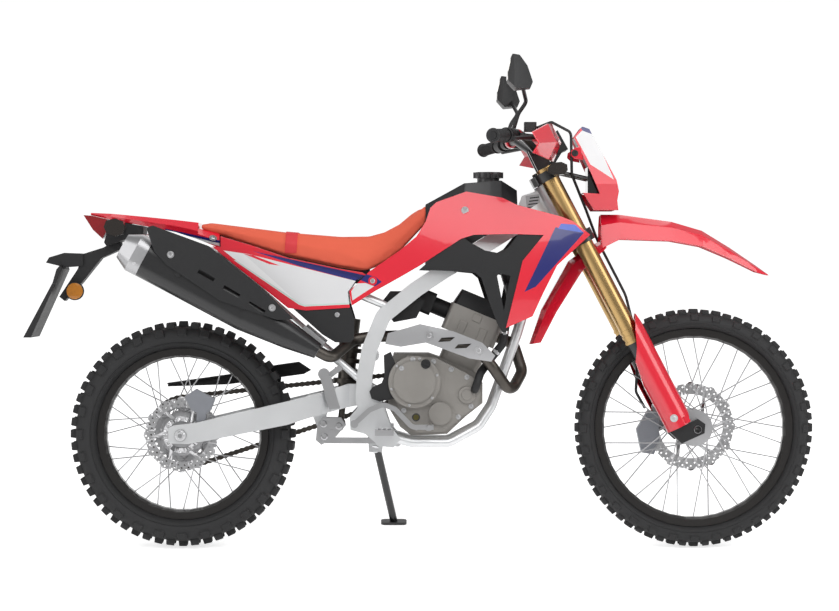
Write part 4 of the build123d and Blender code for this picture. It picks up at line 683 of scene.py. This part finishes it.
class BIKE_OT_discs(bpy.types.Operator):
    """Drills the brake discs"""
    bl_idname = "bike.discs"
    bl_label = "Discs"

    def execute(self, context):
        radius = context.scene.bike_sizes.disc_hole
        for name, centre, rings in DISCS:
            disc = copy_node(name, name + "_drilled")
            drills = []
            for reach, offset in rings:
                spot = centre + from_axle(offset / HOLES) * reach
                drill = add_rod(spot, LEFT, DRILL_REACH, radius, sides=12)
                drills.append(repeat_round(drill, centre, HOLES))
            drills = place(join(drills), PARKED)
            cut = disc.modifiers.new("Drill", "BOOLEAN")
            cut.operation = "DIFFERENCE"
            cut.object = drills
            apply_all(disc)
            bpy.data.objects.remove(drills)
            stand_in(smooth(disc, SOLID_ANGLE), name)
        return {"FINISHED"}


# ---------------------------------------------------------------- seat
# steps for which the seat's cover is blown up as cloth
PUFF_FRAMES = 20
# the strap's ends and its lower edges: a point of each cut, and the way to what is cut off
STRAP_CUTS = (((0.294, 0, 0.85), (-1, 0, 0.05)), ((0.327, 0, 0.85), (1, 0, -0.07)),
              ((0.31, 0, 0.836), (0, 0, -1)))
# side-view outlines of the seat's pan and the side covers' rims, in millimetres
SEAT_PAN = [(98, 850), (207, 826), (330, 792), (500, 748), (532, 768), (532, 790), (450, 802), (300, 834),
            (200, 866), (98, 889)]
COVER_RIM = [(112, 846), (207, 834), (500, 760), (522, 774), (512, 781), (450, 791), (300, 823), (200, 857),
             (112, 883)]
# how far to the side their outer faces are, in millimetres, and their thickness in metres
PAN_SIDE, RIM_SIDE, PLATE_WALL = 52, 103, 0.003


def puff(seat, swell):
    """Blows up the seat as cloth, and lets no point move further than the swell."""
    scene = bpy.context.scene
    rest = [vertex.co.copy() for vertex in seat.data.vertices]
    cloth = seat.modifiers.new("Cloth", "CLOTH")
    cloth.settings.use_pressure = True
    cloth.settings.uniform_pressure_force = 4.0
    cloth.settings.effector_weights.gravity = 0.0
    cloth.settings.tension_stiffness = 40
    cloth.settings.compression_stiffness = 40
    cloth.point_cache.frame_end = PUFF_FRAMES
    for step in range(1, PUFF_FRAMES + 1):
        scene.frame_set(step)
    grown = seat.evaluated_get(bpy.context.evaluated_depsgraph_get())
    moved = [vertex.co.copy() for vertex in grown.data.vertices]
    seat.modifiers.remove(cloth)
    scene.frame_set(1)
    for vertex, start, end in zip(seat.data.vertices, rest, moved):
        step = end - start
        vertex.co = start + step * min(1.0, swell / max(step.length, 1e-9))


def cut_strap(seat, thickness):
    """The strap over the seat: a band of the pad's own skin, thickened."""
    strap = place(copy_of(seat, "strap"), UPRIGHT)
    bpy.ops.object.mode_set(mode="EDIT")
    for point, outward in STRAP_CUTS:
        bpy.ops.mesh.select_all(action="SELECT")
        bpy.ops.mesh.bisect(plane_co=point, plane_no=outward, clear_outer=True)
    bpy.ops.object.mode_set(mode="OBJECT")
    wall = strap.modifiers.new("Wall", "SOLIDIFY")
    wall.thickness, wall.offset = thickness, 0.6
    return smooth(round_edges(strap, 0.0008), 40)


class BIKE_OT_seat(bpy.types.Operator):
    """Pads the seat, and sews on its strap"""
    bl_idname = "bike.seat"
    bl_label = "Seat"

    def execute(self, context):
        sizes = context.scene.bike_sizes
        seat = copy_node("seat", "seat_pad")
        seat.data.remesh_voxel_size = 0.006
        bpy.ops.object.voxel_remesh()
        soften = seat.modifiers.new("Soften", "SMOOTH")
        soften.factor, soften.iterations = 0.5, 6
        apply_all(seat)
        puff(seat, sizes.seat_swell)
        divide = seat.modifiers.new("Divide", "SUBSURF")
        divide.levels = divide.render_levels = 1
        smooth(apply_all(seat), ROUND_ANGLE)
        finish_material("strap_webbing", (0.70, 0.035, 0.045), 0.55, mottle=(12.0, 0.1), grain=(1800.0, 0.4))
        settle(cut_strap(seat, sizes.strap), "seat_strap", "chassis", "strap_webbing")
        paint(seat, "seat_cover")
        stand_in(seat, "seat")
        return {"FINISHED"}


# ---------------------------------------------------------------- lamps and glass
# the two flat halves of a mirror's glass, in millimetres, as (x, y, z) on the left side
MIRROR_GLASS = (
    [(909, 344, 1309), (909, 350, 1301), (909, 418, 1301), (909, 424, 1309), (909, 425, 1322),
     (909, 343, 1322)],
    [(909, 343, 1322), (909, 425, 1322), (915.7, 423, 1349), (918, 412, 1358), (918, 356, 1358),
     (915.7, 345, 1349)])
REFLECTOR = Vector((-0.306, -0.0455, 0.728))
# the slope of the meter's rear face, in millimetres, how far its glass stands off, and (way up the slope, y)
METER_FOOT, METER_TOP, METER_GAP = Vector((1066, 0, 1118)), Vector((1040, 0, 1168)), 0.1
METER_FACE = [(8, -58), (8, 58), (46, 58), (50, 50), (50, -50), (46, -58)]
# the way that the headlight's front faces
LAMP_WAY = Vector((1, 0, 0.35)).normalized()


class BIKE_OT_mirrors(bpy.types.Operator):
    """Glazes the mirrors"""
    bl_idname = "bike.mirrors"
    bl_label = "Mirror glass"

    def execute(self, context):
        finish_material("mirror_glass", (0.62, 0.60, 0.56), 0.06, metallic=0.9, grain=(300.0, 0.002))
        for side, name in ((-1, "right"), (1, "left")):
            halves = [add_plate([mm(x, side * y, z) for x, y, z in corners], (-0.0012, 0, 0))
                      for corners in MIRROR_GLASS]
            settle(join(halves), f"mirror_glass_{name}", "steering", "mirror_glass")
        return {"FINISHED"}


class BIKE_OT_reflector(bpy.types.Operator):
    """Adds the rear reflector and its rim"""
    bl_idname = "bike.reflector"
    bl_label = "Reflector"

    def execute(self, context):
        radius = context.scene.bike_sizes.reflector
        lens_material("amber_reflector", (0.62, 0.22, 0.012), 0.12, 0.0)
        lens = add_rod(REFLECTOR, -LEFT, (-0.002, 0.002), radius, sides=40)
        lens = smooth(round_edges(lens, 0.0015, segments=3))
        settle(lens, "reflector", "chassis", "amber_reflector")
        rim = add_ring(REFLECTOR, LEFT, radius + 0.001, thickness=0.0016, sides=40)
        settle(smooth(rim, ROUND_ANGLE), "reflector_rim", "chassis", "grained_plastic")
        return {"FINISHED"}


class BIKE_OT_meter(bpy.types.Operator):
    """Glazes the meter's rear face"""
    bl_idname = "bike.meter"
    bl_label = "Meter face"

    def execute(self, context):
        finish_material("meter_glass", (0.02, 0.025, 0.028), 0.08, coat=0.8, grain=(200.0, 0.002))
        climb = (METER_TOP - METER_FOOT).normalized()
        out = Vector((-climb.z, 0, climb.x))
        foot = METER_FOOT + out * METER_GAP
        corners = [(foot + climb * along + LEFT * left) / 1000 for along, left in METER_FACE]
        settle(add_plate(corners, out * 0.0015), "meter_face", "steering", "meter_glass")
        return {"FINISHED"}


class BIKE_OT_headlight(bpy.types.Operator):
    """Sets four small lenses in the headlight's dark front"""
    bl_idname = "bike.headlight"
    bl_label = "Headlight lenses"

    def execute(self, context):
        domes = []
        for left in (-26, 26):
            for z in (1022, 1062):
                front = mm(1226 - (z - 1004) * 0.3, left, z)
                start_clean()
                bpy.ops.mesh.primitive_uv_sphere_add(segments=28, ring_count=14, radius=0.016)
                dome = aim(bpy.context.object, front - LAMP_WAY * 0.0105, LAMP_WAY, (1, 1, 0.6))
                domes.append(smooth(dome, ROUND_ANGLE))
        settle(join(domes), "headlight_lenses", "steering", "clear_lens")
        return {"FINISHED"}


# ---------------------------------------------------------------- fasteners and engine fittings
# places on the engine's right side as (x, z), in millimetres
ENGINE_BOLTS = [(622, 512), (654, 537), (712, 530), (762, 508), (806, 486), (832, 450), (818, 404),
                (782, 374), (696, 342), (664, 344), (628, 392)]
CLUTCH, CLUTCH_REACH = (658, 473), 66.5
CLUTCH_BOLTS = [(CLUTCH[0] + CLUTCH_REACH * math.cos(angle), CLUTCH[1] + CLUTCH_REACH * math.sin(angle))
                for angle in (0.3, 1.35, 2.4, 3.44, 4.5, 5.55)]
FILLER, WINDOW, PUMP = (690, 524), (663, 373), (806, 436)
# flat places beside the axles, on the swingarm and on the fork legs, and the shrouds' rear tips
ARM_END, LEG_END, SHROUD_TIP = (22, 322), (1467, 341), (541, 757)
# piece, body, and rows of node, share of the usual head, washer's radius, sides, (x, z) places in millimetres
BOLTS = (
    ("panel_bolts", "chassis", (
        ("shrouds", 0.9, 0, BOTH, [SHROUD_TIP]),
        ("shrouds", 1.0, 0.0105, BOTH, [(800, 955)]),
        ("tail_cowl", 1.0, 0.011, BOTH, [(90, 878)]),
        ("lower_covers", 0.9, 0, BOTH, [(441, 662)]))),
    ("shield_bolts", "chassis", (
        ("header_shield", 0.9, 0.012, RIGHT, [(700, 604), (838, 562)]),
        ("muffler_shield", 0.8, 0.010, RIGHT, [(-20, 830), (262, 682)]),
        ("muffler_end_cap", 0.6, 0, RIGHT, [(-122, 806)]))),
    ("engine_bolts", "chassis", (("engine_covers", 0.6, 0.0075, RIGHT, ENGINE_BOLTS),)),
    ("link_bolts", "chassis", (("shock_linkage", 1.3, 0.015, RIGHT, [(400, 350), (402, 314), (444, 344)]),)),
    ("clutch_bolts", "chassis", (("engine_covers", 0.5, 0, RIGHT, CLUTCH_BOLTS),)),
    ("guard_bolts", "steering", (("fork_guards", 1.0, 0.011, BOTH, [(1386, 372)]),)),
)
# height of a bolt's head as a share of its radius
HEAD_SHARE = 0.55
# x, z in millimetres, and the width and height of each pad on the cylinder head
HEAD_PADS = ((792, 625, 0.022, 0.040), (848, 602, 0.022, 0.040), (836, 651, 0.024, 0.022))
CYLINDER_TILT = Matrix.Rotation(math.radians(22.6), 4, "Y")
# side-view outline of the ears that carry the headlight's cowl, in millimetres, and their bolt
COWL_EAR = [(1128, 1136), (1112, 1133), (1102, 1126), (1100, 1112), (1108, 1104), (1120, 1101), (1137, 1098)]
EAR_SIDE, EAR_BOLT = 84, (1112, 1118)


class BIKE_OT_bolts(bpy.types.Operator):
    """Sets the bolts of the panels, guards, linkage and engine covers"""
    bl_idname = "bike.bolts"
    bl_label = "Bolts"

    def execute(self, context):
        usual = context.scene.bike_sizes.bolt
        for name, body, rows in BOLTS:
            bolts = []
            for node, share, washer, sides, places in rows:
                for x, z in places:
                    for side in sides:
                        foot, facing = surface(node, x, z, side)
                        radius = usual * share
                        bolts.append(add_bolt(foot, facing, radius, radius * HEAD_SHARE, washer))
            settle(smooth(join(bolts), 30), name, body, "machined_steel")
        return {"FINISHED"}


class BIKE_OT_axles(bpy.types.Operator):
    """Fits the rear axle's nuts and the front axle's hollow ends"""
    bl_idname = "bike.axles"
    bl_label = "Axle ends"

    def execute(self, context):
        nuts, ends = [], []
        for side in BOTH:
            arm, _ = surface("swingarm", *ARM_END, side)
            nut = add_bolt(REAR_AXLE + LEFT * arm.y, LEFT * side, radius=0.0135, height=0.008, washer=0.018)
            nuts.append(nut)
            leg, _ = surface("fork_legs", *LEG_END, side)
            ends.append(add_ring(FRONT_AXLE + LEFT * leg.y, LEFT, radius=0.0090, thickness=0.0021, sides=32))
        settle(join(nuts), "axle_nuts", "chassis", "machined_steel")
        settle(smooth(join(ends), ROUND_ANGLE), "front_axle_ends", "steering", "machined_steel")
        return {"FINISHED"}


class BIKE_OT_engine_fittings(bpy.types.Operator):
    """Fits the filler cap, the oil window, and the raised discs and pads of the castings"""
    bl_idname = "bike.engine_fittings"
    bl_label = "Engine fittings"

    def execute(self, context):
        foot, facing = surface("engine_covers", *FILLER, -1)
        grip = add_box(foot + facing * 0.010, (0.022, 0.006, 0.006), Matrix.Rotation(0.5, 4, "Y"))
        cap = join([add_rod(foot, facing, (0, 0.009), radius=0.0135, sides=32), grip])
        settle(round_edges(cap, 0.001), "filler_cap", "chassis", "grained_plastic")

        finish_material("oil_window", (0.09, 0.075, 0.008), 0.1, coat=0.8)
        foot, facing = surface("engine_covers", *WINDOW, -1)
        rim = add_ring(foot, facing, radius=0.0095, thickness=0.0018, sides=32)
        settle(smooth(rim, ROUND_ANGLE), "oil_window_rim", "chassis", "black_enamel")
        pane = add_rod(foot, facing, (-0.001, 0.0008), radius=0.009, sides=32)
        settle(pane, "oil_window", "chassis", "oil_window")

        foot, facing = surface("engine_covers", *PUMP, -1)
        pads = [add_rod(foot, facing, (-0.001, 0.007), radius=0.024, sides=36),
                add_rod(foot, facing, (0.006, 0.010), radius=0.015, sides=30)]
        for x, z, wide, tall in HEAD_PADS:
            foot, _ = surface("cylinder_head", x, z, -1)
            pads.append(add_box(foot, (wide, 0.007, tall), CYLINDER_TILT))
        pads = round_edges(join(pads), 0.0015, segments=3)
        settle(pads, "engine_pads", "chassis", "grey_casting")
        return {"FINISHED"}


class BIKE_OT_bosses(bpy.types.Operator):
    """Adds the bosses round the shrouds' rear bolts, and the cowl's ears with their bolts"""
    bl_idname = "bike.bosses"
    bl_label = "Bosses and ears"

    def execute(self, context):
        usual = context.scene.bike_sizes.bolt
        bosses, ears, studs = [], [], []
        for side in BOTH:
            foot, facing = surface("shrouds", *SHROUD_TIP, side)
            bosses.append(add_rod(foot, facing, (-0.001, 0.0016), radius=0.0125, sides=28))
            ear = add_plate([mm(x, side * EAR_SIDE, z) for x, z in COWL_EAR], (0, -side * 0.004, 0))
            ears.append(round_edges(ear, 0.001))
            spot = mm(EAR_BOLT[0], side * EAR_SIDE, EAR_BOLT[1])
            studs.append(add_bolt(spot, LEFT * side, usual, height=0.004, washer=0.0095))
        settle(join(bosses), "shroud_bosses", "chassis", "red_bodywork")
        settle(join(ears), "cowl_ears", "steering", "red_bodywork")
        settle(join(studs), "cowl_bolts", "steering", "black_enamel")
        return {"FINISHED"}


# ---------------------------------------------------------------- trim
# a grip's inner and outer end on the left side, and how the ribs lie along it
GRIP_START, GRIP_END = Vector((0.957, 0.176, 1.165)), Vector((0.868, 0.412, 1.150))
RIBS, RIB_PITCH, RIBS_FROM_END = 13, 0.0075, 0.100
# how far the two collars are from the end, and their radius
COLLARS = ((0.004, 0.0175), (0.114, 0.0185))
# places on the coolant hose, and its way there
CLAMPS = (((0.8892, -0.093, 0.5562), (38, -2, 48)), ((0.9130, -0.0870, 0.6100), (10, 14, 60)))
# the radiator's core, on the bike's left: its middle, its forward way and its way up
CORE = Vector((0.935, 0.102, 0.745))
CORE_FACING, CORE_CLIMB = Vector((0.96, 0, 0.28)).normalized(), Vector((-0.28, 0, 0.96)).normalized()
FINS, FIN_PITCH = 29, 0.006
# the middle of the plates beside the steering head, as (x, z) in millimetres
HEAD_PLATE, HEAD_PLATE_TILT = (998, 981), Matrix.Rotation(-0.12, 4, "Y")
PLATE_SLOTS = 4


class BIKE_OT_grips(bpy.types.Operator):
    """Ribs the grips"""
    bl_idname = "bike.grips"
    bl_label = "Grip ribs"

    def execute(self, context):
        ribs = []
        for side in BOTH:
            mirror = Vector((1, side, 1))
            way = (GRIP_END - GRIP_START).normalized() * mirror
            end = GRIP_END * mirror
            rib = add_ring(end - way * RIBS_FROM_END, way, radius=0.0162, thickness=0.0016, sides=24)
            ribs.append(repeat(rib, RIBS, way * RIB_PITCH))
            for from_end, radius in COLLARS:
                ribs.append(add_ring(end - way * from_end, way, radius, thickness=0.003, sides=24))
        settle(smooth(join(ribs), ROUND_ANGLE), "grip_ribs", "steering", "soft_black")
        return {"FINISHED"}


class BIKE_OT_clamps(bpy.types.Operator):
    """Clamps the coolant hose"""
    bl_idname = "bike.clamps"
    bl_label = "Hose clamps"

    def execute(self, context):
        clamps = []
        for spot, way in CLAMPS:
            spot, way = Vector(spot), Vector(way).normalized()
            clamps.append(add_rod(spot, way, (-0.004, 0.004), radius=0.0124, sides=28))
            clamps.append(add_box(spot - LEFT * 0.0138, (0.008, 0.006, 0.010)))
        settle(join(clamps), "hose_clamps", "chassis", "machined_steel")
        return {"FINISHED"}


class BIKE_OT_radiator(bpy.types.Operator):
    """Fins the radiator's core"""
    bl_idname = "bike.radiator"
    bl_label = "Radiator fins"

    def execute(self, context):
        finish_material("radiator_fins", (0.22, 0.22, 0.23), 0.45, metallic=0.9)
        turn = Matrix((CORE_FACING, LEFT, CORE_CLIMB)).transposed().to_4x4()
        lowest = CORE + CORE_FACING * 0.0153 - CORE_CLIMB * FIN_PITCH * (FINS - 1) / 2
        fin = add_box(lowest, (0.0016, 0.078, 0.0024), turn)
        fins = repeat(fin, FINS, CORE_CLIMB * FIN_PITCH)
        settle(fins, "radiator_fins", "chassis", "radiator_fins")
        return {"FINISHED"}


class BIKE_OT_seat_pan(bpy.types.Operator):
    """Adds the pan below the seat's edges, and the side covers' upper rims"""
    bl_idname = "bike.seat_pan"
    bl_label = "Seat pan and rims"

    def execute(self, context):
        pans, rims = [], []
        for side in BOTH:
            wall = (0, -side * PLATE_WALL, 0)
            pans.append(add_plate([mm(x, side * PAN_SIDE, z) for x, z in SEAT_PAN], wall))
            rims.append(add_plate([mm(x, side * RIM_SIDE, z) for x, z in COVER_RIM], wall))
        settle(join(pans), "seat_pan", "chassis", "black_enamel")
        settle(round_edges(join(rims), 0.001), "cover_rims", "chassis", "side_cover_paint")
        return {"FINISHED"}


class BIKE_OT_head_plates(bpy.types.Operator):
    """Adds the slotted plates beside the steering head"""
    bl_idname = "bike.head_plates"
    bl_label = "Head plates"

    def execute(self, context):
        slots, plates = [], []
        for side in BOTH:
            spot, _ = surface("frame", *HEAD_PLATE, side)
            plates.append(add_box(spot, (0.040, 0.0024, 0.042), HEAD_PLATE_TILT))
            for step in range(PLATE_SLOTS):
                shift = Vector((step * 0.002 - 0.003, side * 0.0012, step * 0.009 - 0.0135))
                slots.append(add_box(spot + shift, (0.027, 0.0006, 0.0035), HEAD_PLATE_TILT))
        settle(round_edges(join(plates), 0.0008), "head_plates", "chassis", "satin_alloy")
        settle(join(slots), "head_slots", "chassis", "black_enamel")
        return {"FINISHED"}


# ---------------------------------------------------------------- panels
# node, width of its rounded edges, whether its flat faces blend into each other
PANELS = (("shrouds", 0.004, False), ("side_covers", 0.002, False), ("front_fender", 0.004, True),
          ("headlight_cowl", 0.003, False), ("knuckle_guards", 0.003, True), ("tail_cowl", 0.003, False),
          ("mirrors", 0.007, True), ("muffler_shield", 0.003, False), ("fuel_tank", 0.006, True))


class BIKE_OT_panels(bpy.types.Operator):
    """Rounds the edges of the moulded panels"""
    bl_idname = "bike.panels"
    bl_label = "Panels"

    def execute(self, context):
        for node, width, blends in PANELS:
            panel = round_edges(copy_node(node, node + "_rounded"), width, segments=3, angle=8)
            smooth(panel, 40 if blends else 30)
            if not blends:
                weigh = panel.modifiers.new("Weigh", "WEIGHTED_NORMAL")
                weigh.keep_sharp = True
                apply_all(panel)
            stand_in(panel, node)
        return {"FINISHED"}


# ---------------------------------------------------------------- studio
# place, size in metres, power in watts, what it points at
LAMPS = (((0.4, -2.6, 3.4), 3.2, 74, (0.1, 0, 0.6)), ((2.8, -1.6, 1.9), 1.6, 24, (0.3, 0, 0.7)),
         ((-2.8, -1.8, 1.8), 1.8, 22, (-0.3, 0, 0.6)), ((0, 2.6, 3.0), 3.0, 26, (0, 0, 0.6)))
# how much the floor glows to the camera and in reflections, and how strongly the surround lights the object
FLOOR_GLOW, ROOM_LIGHT = 0.72, 0.36
# the camera, in the upright bike's axes, and its lens
CAMERA_PLACE = Vector((0.6108, -7.590, 0.7482))
SENSOR, LENS, SHIFT = 36.0, 114.0, (0.0262, -0.0256)


def lay_floor():
    """A pale floor that looks white to the camera and in reflections, and keeps its shadows."""
    start_clean()
    bpy.ops.mesh.primitive_plane_add(size=60)
    floor = bpy.context.object
    floor.name = "floor"
    material, nodes, links = new_material("studio_floor")
    shader = nodes["Principled BSDF"]
    shader.inputs["Base Color"].default_value = (0.86, 0.86, 0.86, 1)
    shader.inputs["Roughness"].default_value = 0.9
    path = nodes.new("ShaderNodeLightPath").outputs
    seen = add_math(nodes, links, "MAXIMUM", path["Is Camera Ray"], path["Is Glossy Ray"])
    glow = add_math(nodes, links, "MULTIPLY", seen, FLOOR_GLOW)
    shader.inputs["Emission Color"].default_value = (1, 1, 1, 1)
    links.new(glow, shader.inputs["Emission Strength"])
    floor.data.materials.append(material)


def light_room(scene):
    """A white surround that gives the object less light than it shows."""
    world = bpy.data.worlds.new("studio")
    scene.world = world
    world.use_nodes = True
    nodes, links = world.node_tree.nodes, world.node_tree.links
    back = nodes["Background"]
    back.inputs["Color"].default_value = (1, 1, 1, 1)
    path = nodes.new("ShaderNodeLightPath").outputs
    seen = add_math(nodes, links, "MAXIMUM", path["Is Camera Ray"], path["Is Transmission Ray"])
    links.new(add_range(nodes, links, seen, ROOM_LIGHT, 1.0), back.inputs["Strength"])


def hang_lamps():
    """Soft square lamps above and beside the bike."""
    for spot, size, power, target in LAMPS:
        bpy.ops.object.light_add(type="AREA", location=spot)
        lamp = bpy.context.object
        lamp.data.size = size
        lamp.data.energy = power
        lamp.rotation_euler = (Vector(target) - Vector(spot)).to_track_quat("-Z", "Y").to_euler()


def set_camera(scene):
    """A camera level with the bike, square to its right side."""
    lens = bpy.data.cameras.new("camera")
    camera = bpy.data.objects.new("camera", lens)
    scene.collection.objects.link(camera)
    lens.sensor_width = SENSOR
    lens.lens = LENS
    lens.shift_x, lens.shift_y = SHIFT
    level = Matrix.Rotation(math.radians(90), 4, "X")
    camera.matrix_world = PARKED @ Matrix.Translation(CAMERA_PLACE) @ level
    scene.camera = camera


class BIKE_OT_stage(bpy.types.Operator):
    """Lays the floor and sets the lamps and the camera"""
    bl_idname = "bike.stage"
    bl_label = "Studio"

    def execute(self, context):
        lay_floor()
        light_room(context.scene)
        hang_lamps()
        set_camera(context.scene)
        context.scene.view_settings.view_transform = "Standard"
        return {"FINISHED"}


# ---------------------------------------------------------------- add-on
class BIKE_PT_panel(bpy.types.Panel):
    """Lists the bike's steps and settings"""
    bl_idname = "BIKE_PT_panel"
    bl_label = "Motorcycle"
    bl_space_type = "VIEW_3D"
    bl_region_type = "UI"
    bl_category = "Motorcycle"

    def draw(self, context):
        for group in (context.scene.bike_finish, context.scene.bike_sizes):
            for name in group.__annotations__:
                self.layout.prop(group, name)
        for step in STEPS:
            self.layout.operator(step.bl_idname)


# in the order in which they run: solids are measured before the panels take their place
STEPS = (BIKE_OT_finishes, BIKE_OT_tyres, BIKE_OT_discs, BIKE_OT_seat, BIKE_OT_mirrors,
         BIKE_OT_reflector, BIKE_OT_meter, BIKE_OT_headlight, BIKE_OT_bolts, BIKE_OT_axles,
         BIKE_OT_engine_fittings, BIKE_OT_bosses, BIKE_OT_grips, BIKE_OT_clamps, BIKE_OT_radiator,
         BIKE_OT_seat_pan, BIKE_OT_head_plates, BIKE_OT_panels, BIKE_OT_stage)
CLASSES = (BikeFinish, BikeSizes) + STEPS + (BIKE_PT_panel,)


def register():
    """Registers the settings, the steps and the panel."""
    for cls in CLASSES:
        bpy.utils.register_class(cls)
    bpy.types.Scene.bike_finish = PointerProperty(type=BikeFinish)
    bpy.types.Scene.bike_sizes = PointerProperty(type=BikeSizes)


def unregister():
    """Takes away what register adds."""
    del bpy.types.Scene.bike_finish, bpy.types.Scene.bike_sizes
    for cls in reversed(CLASSES):
        bpy.utils.unregister_class(cls)


def main():
    """Runs every step."""
    register()
    start_clean()
    for step in STEPS:
        group, name = step.bl_idname.split(".")
        getattr(getattr(bpy.ops, group), name)()


if __name__ == "__main__":
    main()
